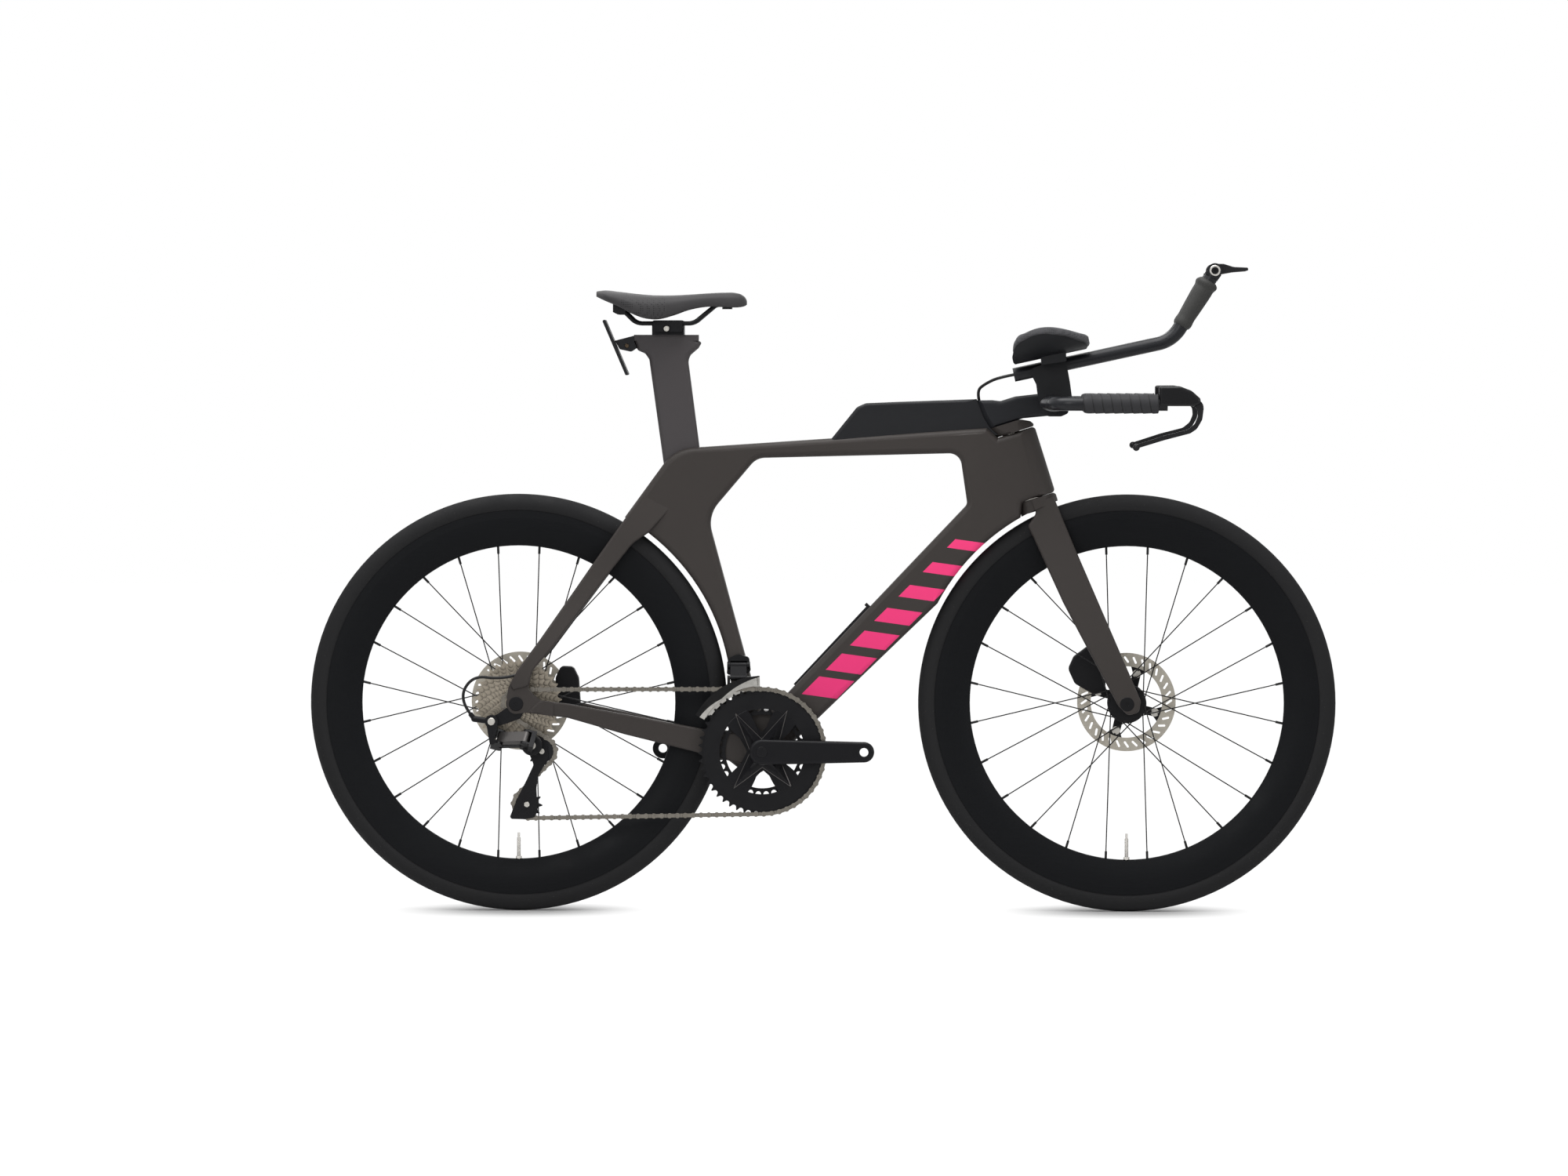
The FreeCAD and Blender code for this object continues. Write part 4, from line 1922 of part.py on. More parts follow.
def make_saddle_clamp():
    """Block on the post's track, a cap on each rail, and the cross bolt."""
    outline = [bb(-179.4, TRACK_TOP), bb(-179.4, 697), bb(-127.6, 697), bb(-127.6, TRACK_TOP)]
    half = RAIL_Y - 0.2
    block = plate(outline, [0, 4, 4, 0], -half, half)
    cap = plate(
        [bb(-177, 678), bb(-177, 697), bb(-130, 697), bb(-130, 678)],
        4,
        RAIL_Y + 0.2,
        RAIL_Y + 8,
    )
    centre = bb(-155.5, 683.5)
    bolt = disc(centre, 3, -RAIL_Y - 8, RAIL_Y + 8)
    head = disc(centre, 5.5, RAIL_Y + 8, RAIL_Y + 12)
    hole = disc(centre, 3 + FIT, -WIDE, WIDE)
    grown = both(make_rail(FIT))
    block = block.cut(grown).cut(hole)
    cap = cap.cut(grown).cut(hole)
    return [block] + both(cap) + [bolt.fuse(both(head))]


# Each station of the saddle: distance ahead of the bottom bracket, half width, top, skirt bottom
SADDLE = (
    (-269.0, 34.0, 744.0, 735.0),
    (-256.0, 58.0, 745.5, 729.0),
    (-232.0, 67.0, 743.4, 719.0),
    (-205.0, 67.0, 740.4, 705.0),
    (-180.0, 60.0, 738.3, 698.5),
    (-150.0, 47.0, 737.8, 704.0),
    (-120.0, 35.0, 739.0, 714.0),
    (-90.0, 28.5, 741.0, 719.0),
    (-62.0, 25.0, 742.2, 718.5),
    (-40.0, 21.0, 740.0, 718.0),
    (-28.0, 13.0, 733.5, 721.0),
)
CHANNEL_DEPTH = 6.0
CHANNEL_HALF = 9.0


def saddle_section(station, inset):
    """A closed cross section of the saddle, shrunk by an inset, open to below its skirt."""
    x, half, top, low = station
    w = half - inset
    high = top - inset
    drop = low - 14.0 if inset > 0 else low
    fall = high - drop
    groove = CHANNEL_DEPTH * min(1.0, half / 40.0)
    pts = [
        bb(x, high - groove, 0),
        bb(x, high - groove * 0.35, CHANNEL_HALF * min(1.0, half / 40.0)),
        bb(x, high - fall * 0.03, w * 0.48),
        bb(x, high - fall * 0.12, w * 0.74),
        bb(x, high - fall * 0.34, w * 0.95),
        bb(x, high - fall * 0.62, w),
        bb(x, drop + fall * 0.12, w * 0.97),
        bb(x, drop, w * 0.9),
    ]
    left = [V(p.x, -p.y, p.z) for p in pts[1:]]
    curve = Part.BSplineCurve()
    curve.interpolate(list(reversed(left)) + pts)
    close = Part.LineSegment(pts[-1], left[-1]).toShape()
    return Part.Wire([curve.toShape(), close])


def make_saddle():
    """Padded cover over a thin shell with sockets for the ends of the rails."""
    full = loft([saddle_section(s, 0.0) for s in SADDLE])
    inner = loft([saddle_section(s, COVER_T) for s in SADDLE[1:-1]])
    hollow = loft([saddle_section(s, COVER_T + SHELL_T) for s in SADDLE[1:-1]])
    cover = full.cut(inner)
    shell = inner.common(full).cut(hollow)
    cover = max(cover.Solids, key=lambda s: s.Volume)
    shell = max(shell.Solids, key=lambda s: s.Volume)
    nose = plate([bb(-66, 715), bb(-66, 745), bb(-50, 745), bb(-50, 715)], 0, -RAIL_Y + 10, RAIL_Y - 10)
    tail = plate([bb(-242, 706), bb(-242, 745), bb(-222, 745), bb(-222, 706)], 0, RAIL_Y, RAIL_Y + 17)
    sockets = [b.common(inner) for b in [nose] + both(tail)]
    shell = shell.fuse(sockets).cut(both(make_rail(FIT)))
    return cover, max(shell.Solids, key=lambda s: s.Volume)


# Things fixed to the frame
def make_bottle_mounts():
    """Bottle plate behind the saddle and a mounting strip on the down tube."""
    def at(x, z):
        return bb(x, z)

    slope = (bb(-217.5, 609.4) - bb(-255.5, 698.3)).normalize()
    out = V(-slope.z, 0, slope.x)
    top = bb(-255.5, 698.3)
    low = bb(-217.5, 609.4)
    rear_plate = plate([top, low, low - out * 5, top - out * 5], [2, 2, 2, 2], -24, 24)
    bracket = plate(
        [at(-240, 664), at(-209.2, 672), at(-209.2, 664.5), at(-205, 652), at(-214, 646), at(-232, 650)],
        [0, 0, 0, 0, 5, 0],
        -13,
        13,
    )
    bracket = bracket.cut(rear_plate).cut(POST)
    bracket = max(bracket.Solids, key=lambda s: s.Volume)
    holes = []
    for share in (0.28, 0.78):
        c = top + (low - top) * share
        for y in (-14, 14):
            holes.append(rod(V(c.x, y, c.z) - out * 12, V(c.x, y, c.z) + out * 12, BOTTLE_R))
    rear_plate = rear_plate.cut(holes)
    a = bb(51.3, 106.5)
    b = bb(168.7, 232)
    d = (b - a).normalize()
    up = V(-d.z, 0, d.x)
    end = b + d * 5
    strip = plate([a - up * 9, a + up * 2, b + up * 2, b + up * 6, end + up * 6, end - up * 9], 0, -9, 9)
    strip = strip.cut(FRAME)
    strip = max(strip.Solids, key=lambda s: s.Volume)
    return [rear_plate, bracket, strip]


BOTTLE_R = 2.5
BOX_HALF = 19.0
BOX_WALL = 2.0


def make_storage_box():
    """Hollow storage box on the top tube, its front clear of the stem's bowl, with a lid set in its top."""
    top = 543.0
    outline = [
        bb(106.4, 500),
        bb(152.4, 557),
        bb(166.4, 563.1),
        bb(220.4, 565.3),
        hd(-38, top),
        hd(-20, top),
        hd(-20, HEAD_HIGH + 4),
    ]
    box = plate(outline, [0, 14, 14, 0, 0, 0, 0], -BOX_HALF, BOX_HALF)
    edges = []
    for e in box.Edges:
        c = e.CenterOfMass
        if abs(abs(c.y) - BOX_HALF) < 0.1 and c.z > BB.z + 520 and (c - STEER_FOOT).dot(AHEAD) < -45:
            edges.append(e)
    box = soften(box, edges, 5)
    bowl = steer_turned(
        [
            (0, HEAD_HIGH),
            (23 + RUN_GAP, HEAD_HIGH),
            (27 + RUN_GAP, HEAD_HIGH + 4),
            (34.6 + RUN_GAP, HEAD_HIGH + 20),
            (38.3 + RUN_GAP, HEAD_HIGH + 38),
            (40.5 + RUN_GAP, 545),
            (40.5 + RUN_GAP, 560),
            (0, 560),
        ]
    )
    box = box.cut(bowl).cut(FRAME)
    box = max(box.Solids, key=lambda s: s.Volume)
    half = BOX_HALF - BOX_WALL - 1
    room = plate([bb(160, 528), bb(170, 556), bb(262, 559), bb(268, 536)], 3, -half, half)
    mouth = plate([bb(174, 540), bb(174, 590), bb(256, 590), bb(256, 540)], 0, -half + 3, half - 3)
    ledge = [bb(171, 561), bb(171, 590), bb(259, 590), bb(259, 564)]
    lid = box.common(plate(ledge, 0, -half + FIT, half - FIT))
    tray = box.cut([plate(ledge, 0, -half, half), room, mouth])
    return [max(tray.Solids, key=lambda s: s.Volume), lid]


def make_rd_cable():
    """Gear cable from the stay to the derailleur's cable stop."""
    y = -REAR_OLD / 2 - HANGER_T - 7
    end = STOP_FOOT + STOP_WAY * 11 + V(0, y, 0)
    points = [
        rear(-1, 46, -REAR_OLD / 2 - DROPOUT_T + 2),
        rear(-26, 40, y + 3),
        rear(-70, 46, y),
        end + STOP_WAY * 30,
        end,
    ]
    cable = swept(rounded(points, [0, 20, 20, 20, 0], closed=False), CABLE_R).cut(FRAME)
    return max(cable.Solids, key=lambda s: s.Volume)


os.makedirs("parts", exist_ok=True)
FRAME = make_frame()
FORK = make_fork()
POST_PARTS = make_post()
POST = POST_PARTS[0]
save("frame", FRAME)
save("seatpost", POST_PARTS)
stem, headset_cap = make_stem()
save("fork", FORK)
save("stem", stem)
save("headset_cap", headset_cap)
save("base_bar", make_bar())
save("bar_tape", make_tape())
brake_body = make_brake_body()
brake_blade = make_brake_blade()
shift_body = make_shift_body()
shift_lever = make_shift_lever()
save("brake_lever_left", brake_blade)
save("brake_lever_right", other_side(brake_blade))
save("brake_lever_bodies", both(brake_body))
save("shift_lever_left", shift_lever)
save("shift_lever_right", other_side(shift_lever))
save("shifter_bodies", both(shift_body))
save("extensions", both(make_extension()))
save("extension_grips", both(make_grip()))
tower, tower_base = make_tower()
save("riser_towers", both(tower) + both(tower_base) + both(make_cup_bracket()))
cup, pad = make_cup()
save("arm_cups", both(cup))
save("arm_pads", both(pad))
save("shift_cables", both(make_shift_cable()))
front_end = FRONT_OLD / 2 - 0.5
rear_left_end = REAR_OLD / 2 - 0.5
rear_right_end = REAR_FLANGE_RIGHT - FLANGE_T / 2 - 1.5
for name, c, yl, yr, el, er, ry in (
    ("front", FRONT, FRONT_FLANGE_LEFT, FRONT_FLANGE_RIGHT, front_end, -front_end, FRONT_ROTOR_Y),
    ("rear", REAR, REAR_FLANGE_LEFT, REAR_FLANGE_RIGHT, rear_left_end, rear_right_end, REAR_ROTOR_Y),
):
    save(name + "_tyre", make_tyre(c))
    save(name + "_rim", make_rim(c, yl, yr))
    save(name + "_spokes", make_spokes(c, yl, yr))
    save(name + "_hub", make_hub(c, yl, yr, el, er, ry))
    save(name + "_rotor", make_rotor(c, ry))
save("front_axle", make_axle(FRONT, FRONT_OLD / 2 + FORK_DROP_T, -FRONT_OLD / 2 - FORK_DROP_T))
save("rear_axle", make_axle(REAR, REAR_OLD / 2 + DROPOUT_T, -REAR_OLD / 2 - DROPOUT_T))
chain_main, chain_tail = make_chain()
save("chain", chain_main)
save("chain_tail", chain_tail)
sprockets, freehub = make_cassette()
save("cassette_sprockets", sprockets)
save("freehub_body", freehub)
save("crank_right", make_right_crank())
save("crank_left", make_left_crank())
rings, ring_bolts = make_chainrings()
save("chainrings", rings)
save("chainring_bolts", ring_bolts)
save("bearings", make_bearings())
save("derailleur_hanger", make_hanger())
save("rd_b_knuckle", make_b_knuckle())
save("rd_outer_link", make_link_bar(B_OUTER, 5.4, LUG_IN - 0.5))
save("rd_inner_link", make_link_bar(B_INNER, 4.4, LUG_IN - 0.5))
save("rd_p_knuckle", make_p_knuckle())
save("rd_cage", make_cage())
save("guide_pulley", make_pulley(GUIDE, GUIDE_PHASE))
save("tension_pulley", make_pulley(TENSION, TENSION_PHASE))
fd_body, fd_link, fd_cage = make_fd()
save("fd_body", fd_body)
save("fd_link", fd_link)
save("fd_cage", fd_cage)
save("rear_caliper", make_rear_caliper())
save("front_caliper", make_front_caliper())
save("saddle_rails", both(make_rail()))
save("saddle_clamp", make_saddle_clamp())
cover, shell = make_saddle()
save("saddle_cover", cover)
save("saddle_shell", shell)
save("bottle_mounts", make_bottle_mounts())
save("storage_box", make_storage_box())
save("rd_cable", make_rd_cable())
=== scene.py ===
import math

import bpy
import numpy as np
from bpy.props import FloatProperty, FloatVectorProperty, IntProperty, PointerProperty
from bpy.types import Operator, Panel, PropertyGroup
from mathutils import Matrix, Vector


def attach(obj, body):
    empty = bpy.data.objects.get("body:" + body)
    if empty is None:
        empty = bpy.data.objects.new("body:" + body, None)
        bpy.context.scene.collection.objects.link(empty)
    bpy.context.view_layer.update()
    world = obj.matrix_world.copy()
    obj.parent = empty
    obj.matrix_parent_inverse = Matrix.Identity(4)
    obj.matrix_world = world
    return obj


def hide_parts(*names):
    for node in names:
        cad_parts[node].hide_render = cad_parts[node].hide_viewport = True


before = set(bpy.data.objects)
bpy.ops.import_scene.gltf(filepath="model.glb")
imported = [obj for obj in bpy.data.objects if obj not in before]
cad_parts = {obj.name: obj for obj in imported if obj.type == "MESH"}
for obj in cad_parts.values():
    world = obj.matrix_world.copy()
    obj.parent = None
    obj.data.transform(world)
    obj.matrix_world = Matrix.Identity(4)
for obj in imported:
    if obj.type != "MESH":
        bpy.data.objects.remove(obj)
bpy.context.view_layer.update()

bl_info = {
    "name": "Time trial bike",
    "version": (1, 0, 0),
    "blender": (4, 5, 0),
    "location": "3D View > Sidebar > Bike",
    "description": "Dresses the packed bike: finishes on its solids, soft pieces, cables and a plain studio",
    "category": "Object",
}

# Places in the part's frame, in metres: x runs ahead, y to the bike's left and z up from the ground
MM = 0.001
REAR = np.array((-493.0, 0.0, 338.0)) * MM
FRONT = np.array((493.0, 0.0, 338.0)) * MM
BB = np.array((-96.5, 0.0, 260.3)) * MM
BAR = np.array((373.908, 0.0, 823.457)) * MM
# The taped stretch of each horn, ahead of the bar's middle, and how far out the horns and extensions run
TAPE_START, TAPE_END = 46.0 * MM, 167.0 * MM
HORN_OUT, EXTENSION_OUT = 195.0 * MM, 55.0 * MM
# Diameter of the cable housings
HOUSING = 0.0048

# The camera that matches the photograph: its place in metres, its turns in radians and its lens in millimetres
CAMERA_AT = (0.3, -14.0, 0.9)
YAW, PITCH, ROLL = 0.02589, 0.02687, 0.00064
LENS, SENSOR, CLIP_END = 198.39, 36.0, 80.0
# Lamps by name: place, width and height in metres, and power in watts. All face the middle of the bike
LAMP_AIM = (0.0, 0.0, 0.5)
LAMPS = {
    "lamp_top": ((-0.4, -0.6, 3.4), 3.6, 2.4, 150.0),
    "lamp_front": ((-1.9, -4.6, 2.4), 2.4, 2.0, 58.0),
    "lamp_side": ((3.4, -2.6, 1.6), 1.8, 2.2, 30.0),
    "lamp_back": ((0.6, 3.6, 2.6), 2.6, 1.8, 34.0),
}
# Strength of the world's light on the bike, where the world itself is seen as 1
WORLD_LIGHT = 0.3
# The floor's half width, the stretch round a tyre's contact over which a painted shadow gives way to white, and the
# share of the paper's colour that the painted shadow keeps at the contact
FLOOR_REACH = 20.0
SHADE_NEAR, SHADE_FAR, PAINTED_SHADOW_SHARE = 0.04, 0.23, 0.45

WHITE, BLACK = (1, 1, 1, 1), (0, 0, 0, 1)
# Settings of a Mix node that blends colours
COLOUR = {"data_type": "RGBA", "out": 2}


def linear(code):
    """sRGB hex code to linear red, green and blue."""
    srgb = np.array([int(code[i : i + 2], 16) for i in (1, 3, 5)]) / 255
    low = srgb / 12.92
    high = ((srgb + 0.055) / 1.055) ** 2.4
    return tuple(np.where(srgb <= 0.04045, low, high).tolist())


def colour(name, code):
    """A colour property whose default is an sRGB hex code."""
    kind = {"subtype": "COLOR", "size": 3, "min": 0, "max": 1}
    return FloatVectorProperty(name=name, description="Colour of the " + name.lower(), default=linear(code), **kind)


def length(name, words, mm):
    """A length property whose default is given in millimetres."""
    return FloatProperty(name=name, description=words, unit="LENGTH", subtype="DISTANCE", default=mm * MM)


class BikeColours(PropertyGroup):
    """Colours that a user would change."""

    frame_grey: colour("Frame lacquer", "#2f2b29")
    post_grey: colour("Post lacquer", "#3b3839")
    stripe_pink: colour("Stripes at their low end", "#cf2f6b")
    stripe_rose: colour("Stripes at their high end", "#e23a74")
    carbon: colour("Bare carbon", "#191a1d")
    rim: colour("Rims", "#0e0f11")
    tyre: colour("Tyres", "#1c1c1d")
    tape: colour("Bar tape", "#2a2a2c")
    grip: colour("Grip sleeves", "#323231")
    pad: colour("Arm pads", "#444446")
    saddle: colour("Saddle cover", "#333233")
    plate: colour("Plated sprockets", "#958d80")
    chain: colour("Plated chain", "#716d66")
    disc: colour("Brake discs", "#a19c92")


class BikeSizes(PropertyGroup):
    """Sizes that a user would change."""

    tape_lap: length("Tape lap", "Height of each lap of the bar tape", 1.1)
    tape_wraps: IntProperty(name="Tape wraps", description="Turns of tape on each horn", default=8, min=4, max=12)
    saddle_dot: length("Saddle dots", "Spacing of the dots pressed into the saddle", 3.4)
    grip_rib: length("Grip ribs", "Spacing of the ribs on the grip sleeves", 2.6)
    pad_knit: length("Pad knit", "Spacing of the mesh of the pad fabric", 2.0)


# Nodes and materials
def node(tree, kind, inputs=None, out=0, **settings):
    """Adds a shader node with its settings, sets or links its inputs, and returns one output, or all where out is None.

    Sockets go by name or number. A Map Range takes its value as 0, the range it comes from as 1 and 2 and the range it
    goes to as 3 and 4, each 0 to 1 where left out. A colour Mix takes its factor as 0 and its two colours as 6 and 7.
    """
    made = tree.nodes.new("ShaderNode" + kind)
    for key, value in settings.items():
        setattr(made, key, value)
    for key, value in (inputs or {}).items():
        if isinstance(value, bpy.types.NodeSocket):
            tree.links.new(value, made.inputs[key])
        else:
            made.inputs[key].default_value = value
    return made.outputs if out is None else made.outputs[out]


def wire(tree, shader, **sockets):
    """Links outputs of nodes to a shader's sockets."""
    for key, value in sockets.items():
        tree.links.new(value, shader.inputs[key.replace("_", " ")])


def material(name, **sockets):
    """A new material with its shader sockets set: returns it, its tree, shader and object coordinates."""
    made = bpy.data.materials.new(name)
    made.use_nodes = True
    tree = made.node_tree
    shader = tree.nodes["Principled BSDF"]
    for key, value in sockets.items():
        shader.inputs[key.replace("_", " ")].default_value = value
    place = node(tree, "TexCoord", out="Object")
    return made, tree, shader, place


def opened(made):
    """The tree, shader, base colour and object coordinates of a finish that gets a second colour over its first."""
    tree = made.node_tree
    shader = tree.nodes["Principled BSDF"]
    base = shader.inputs["Base Color"].links[0].from_socket
    return tree, shader, base, tree.nodes["Texture Coordinate"].outputs["Object"]


def every(mm):
    """Scale of a texture whose features lie this many millimetres apart."""
    return 1000 / mm


def shades(rgb, spread):
    """A darker and a lighter form of one colour, each with its alpha."""
    darker = [c * (1 - spread) for c in rgb]
    lighter = [min(1, c * (1 + spread)) for c in rgb]
    return (*darker, 1), (*lighter, 1)


def side_view(tree, place, centre):
    """Places measured from a centre, and their distance from it in side view."""
    at = node(tree, "Mapping", {"Vector": place, "Location": tuple(-centre)})
    parts = node(tree, "SeparateXYZ", {"Vector": at}, out=None)
    flat = node(tree, "CombineXYZ", {"X": parts["X"], "Y": parts["Z"]})
    return parts, node(tree, "VectorMath", {0: flat}, operation="LENGTH", out="Value")


def grained(name, rgb, rough, grain, relief, spread=0.12, cloud=70.0, span=0.08, crevice=0.0, **sockets):
    """Finish with slow clouds of shade and gloss, a fine grain in relief and, where crevice is set, painted shade in
    the gaps. Lengths are in millimetres.
    """
    made, tree, shader, place = material(name, **{"Specular_IOR_Level": 0.2, **sockets})
    slow = node(tree, "TexNoise", {"Vector": place, "Scale": every(cloud), "Detail": 4.0})
    fine = node(tree, "TexNoise", {"Vector": place, "Scale": every(grain), "Detail": 3.0})
    both = node(tree, "Math", {0: slow, 1: fine}, operation="ADD")
    half = node(tree, "Math", {0: both, 1: 0.5}, operation="MULTIPLY")
    low, high = shades(rgb, spread)
    base = node(tree, "Mix", {0: half, 6: low, 7: high}, **COLOUR)
    if crevice:
        # Oil and painted shade in the gaps: the colour falls towards black where walls stand close to each other
        walls = {"Distance": crevice * MM}
        space = node(tree, "AmbientOcclusion", walls, samples=6, only_local=True, out="AO")
        clear = node(tree, "MapRange", {0: space, 1: 0.3, 2: 0.95, 3: 0.08})
        oil_and_painted_shade = {0: clear, 6: (0.005, 0.005, 0.005, 1), 7: base}
        base = node(tree, "Mix", oil_and_painted_shade, **COLOUR)
    gloss = node(tree, "MapRange", {0: slow, 1: 0.3, 2: 0.7, 3: rough - span, 4: rough + span})
    bump = node(tree, "Bump", {"Height": fine, "Distance": relief * MM, "Strength": 1.0})
    wire(tree, shader, Base_Color=base, Roughness=gloss, Normal=bump)
    return made


def frame_lacquer(name, rgb):
    """Carbon laminate under sprayed matt lacquer: soft broad highlights and a faint sparkle of grain."""
    return grained(name, rgb, rough=0.5, grain=0.9, relief=0.03, spread=0.1, cloud=140.0, span=0.05)


def striped_lacquer(colours):
    """The frame's lacquer with plain slanted stripes printed along the down tube, narrower towards its high end."""
    slope, lean, stripes = math.radians(45.3), 0.75, 7.0
    start, end = 0.125, 0.515
    share_low, share_high = 0.78, 0.3
    middle, half_height = -0.003, 0.023
    inside = 0.001
    made = frame_lacquer("carbon_laminate_matt_lacquer", colours.frame_grey)
    tree, shader, base, place = opened(made)
    # Along and across the down tube, which rises forward from the bracket shell
    at = node(tree, "Mapping", {"Vector": place, "Location": tuple(-BB)})
    turn = {"Vector": at, "Angle": slope}
    along = node(tree, "VectorRotate", turn, rotation_type="Y_AXIS")
    parts = node(tree, "SeparateXYZ", {"Vector": along}, out=None)
    slant = node(tree, "Math", {0: parts["Z"], 1: lean, 2: parts["X"]}, operation="MULTIPLY_ADD")
    share = node(tree, "MapRange", {0: slant, 1: start, 2: end})
    count = node(tree, "Math", {0: share, 1: stripes}, operation="MULTIPLY")
    beat = node(tree, "Math", {0: count}, operation="FRACT")
    width = node(tree, "MapRange", {0: share, 3: share_low, 4: share_high})
    mask = node(tree, "Math", {0: beat, 1: width}, operation="LESS_THAN")
    limits = (
        ("GREATER_THAN", {0: share, 1: inside}),
        ("LESS_THAN", {0: share, 1: 1 - inside}),
        ("COMPARE", {0: parts["Z"], 1: middle, 2: half_height}),
    )
    for test, values in limits:
        more = node(tree, "Math", values, operation=test)
        mask = node(tree, "Math", {0: mask, 1: more}, operation="MULTIPLY")
    ends = {0: share, 6: (*colours.stripe_pink, 1), 7: (*colours.stripe_rose, 1)}
    ink = node(tree, "Mix", ends, **COLOUR)
    both = node(tree, "Mix", {0: mask, 6: base, 7: ink}, **COLOUR)
    wire(tree, shader, Base_Color=both)
    return made


def tyre_rubber(colours):
    """Vulcanised rubber from a mould: dull black and finely pebbled, with a dusting of pale specks."""
    made, tree, shader, place = material("vulcanised_rubber_moulded", Specular_IOR_Level=0.12)
    speck = node(tree, "TexVoronoi", {"Vector": place, "Scale": every(9)})
    dust = node(tree, "MapRange", {0: speck, 1: 0.05, 2: 0.09, 3: 0.35, 4: 0.0})
    cloud = node(tree, "TexNoise", {"Vector": place, "Scale": every(25), "Detail": 5.0})
    low, high = shades(colours.tyre, 0.25)
    base = node(tree, "Mix", {0: cloud, 6: low, 7: high}, **COLOUR)
    pale = node(tree, "Mix", {0: dust, 6: base, 7: (*linear("#4b4a48"), 1)}, **COLOUR)
    rough = node(tree, "MapRange", {0: cloud, 1: 0.3, 2: 0.7, 3: 0.62, 4: 0.8})
    grain = node(tree, "TexNoise", {"Vector": place, "Scale": every(0.9)})
    bump = node(tree, "Bump", {"Height": grain, "Distance": 0.12 * MM, "Strength": 1.0})
    wire(tree, shader, Base_Color=pale, Roughness=rough, Normal=bump)
    return made


def ground_disc(name, rgb, centre):
    """Stainless steel ground flat on a turning table: champagne grey with fine rings round the middle."""
    made, tree, shader, place = material(name, Metallic=1.0)
    _, out = side_view(tree, place, centre)
    # Grinding marks 0.35 mm apart, coarser than real ones so that they show
    marks = {"W": out, "Scale": every(0.35), "Detail": 2.0}
    rings = node(tree, "TexNoise", marks, noise_dimensions="1D")
    low, high = shades(rgb, 0.16)
    base = node(tree, "Mix", {0: rings, 6: low, 7: high}, **COLOUR)
    rough = node(tree, "MapRange", {0: rings, 1: 0.2, 2: 0.8, 3: 0.3, 4: 0.46})
    bump = node(tree, "Bump", {"Height": rings, "Distance": 0.03 * MM, "Strength": 0.6})
    wire(tree, shader, Base_Color=base, Roughness=rough, Normal=bump)
    return made


def bare_carbon(name, rgb, rough, shine):
    """Carbon fibre moulded under pressure: near black, with faint lengthwise fibre streaks under the resin."""
    made, tree, shader, place = material(name, Specular_IOR_Level=shine)
    # Fibre bundles 1.5 mm wide and some 60 mm long
    at = node(tree, "Mapping", {"Vector": place, "Scale": (1, 40, 40)})
    streak = node(tree, "TexNoise", {"Vector": at, "Scale": every(60), "Detail": 3.0})
    cloud = node(tree, "TexNoise", {"Vector": place, "Scale": every(45), "Detail": 3.0})
    low, high = shades(rgb, 0.22)
    base = node(tree, "Mix", {0: streak, 6: low, 7: high}, **COLOUR)
    gloss = node(tree, "MapRange", {0: cloud, 1: 0.3, 2: 0.7, 3: rough - 0.06, 4: rough + 0.06})
    grain = node(tree, "TexNoise", {"Vector": place, "Scale": every(0.8)})
    bump = node(tree, "Bump", {"Height": grain, "Distance": 0.015 * MM, "Strength": 0.6})
    wire(tree, shader, Base_Color=base, Roughness=gloss, Normal=bump)
    return made


def wound_tape(colours, sizes):
    """Foam tape with a rolled skin: soft black with a fine pebble, and painted shade in dark lines where each turn laps
    the last.
    """
    made = grained("foam_tape_rolled", colours.tape, rough=0.6, grain=1.2, relief=0.16, spread=0.25, cloud=18.0)
    tree, shader, base, place = opened(made)
    parts = node(tree, "SeparateXYZ", {"Vector": place}, out=None)
    # Turns are counted along the horn, with a share of a turn for the angle round it
    wide = node(tree, "Math", {0: parts["Y"]}, operation="ABSOLUTE")
    off = node(tree, "Math", {0: wide, 1: HORN_OUT}, operation="SUBTRACT")
    rise = node(tree, "Math", {0: parts["Z"], 1: BAR[2]}, operation="SUBTRACT")
    angle = node(tree, "Math", {0: rise, 1: off}, operation="ARCTAN2")
    first, last = BAR[0] + TAPE_START, BAR[0] + TAPE_END
    count = {0: parts["X"], 1: first, 2: last, 3: 0.0, 4: float(sizes.tape_wraps)}
    turns = node(tree, "MapRange", count, clamp=False)
    spiral = {0: angle, 1: 0.5 / math.pi, 2: turns}
    phase = node(tree, "Math", spiral, operation="MULTIPLY_ADD")
    beat = node(tree, "Math", {0: phase, 1: 0.0, 2: 1.0}, operation="WRAP")
    # Painted shade: a dark line in the crease at the foot of each lap's raised edge
    painted_lap_shade = node(tree, "MapRange", {0: beat, 1: 0.05, 2: 0.2, 3: 0.75, 4: 0.0})
    dark = node(tree, "Mix", {0: painted_lap_shade, 6: base, 7: (*linear("#0a0a0b"), 1)}, **COLOUR)
    wire(tree, shader, Base_Color=dark)
    return made


def cage_metal(bright, black):
    """Aluminium polished on a wheel: a grey mirror along its lip, painted black further up from the chainring."""
    # The crevice setting adds painted shade where walls stand close
    looks = {"rough": 0.2, "grain": 1.0, "relief": 0.02, "spread": 0.1, "cloud": 6.0, "span": 0.06, "crevice": 6.0}
    made = grained("aluminium_polished_lip", bright, **looks)
    tree, shader, base, place = opened(made)
    parts, out = side_view(tree, place, BB)
    # The lip ends 107.5 mm from the bracket axis, narrowest 65 mm behind it and wider towards both ends
    off = node(tree, "Math", {0: parts["X"], 1: 0.065}, operation="ADD")
    size = node(tree, "Math", {0: off}, operation="ABSOLUTE")
    edge = node(tree, "Math", {0: size, 1: 0.22, 2: 0.1075}, operation="MULTIPLY_ADD")
    lip = node(tree, "Math", {0: out, 1: edge}, operation="LESS_THAN")
    both = node(tree, "Mix", {0: lip, 6: (*black, 1), 7: base}, **COLOUR)
    wire(tree, shader, Base_Color=both, Metallic=lip)
    return made


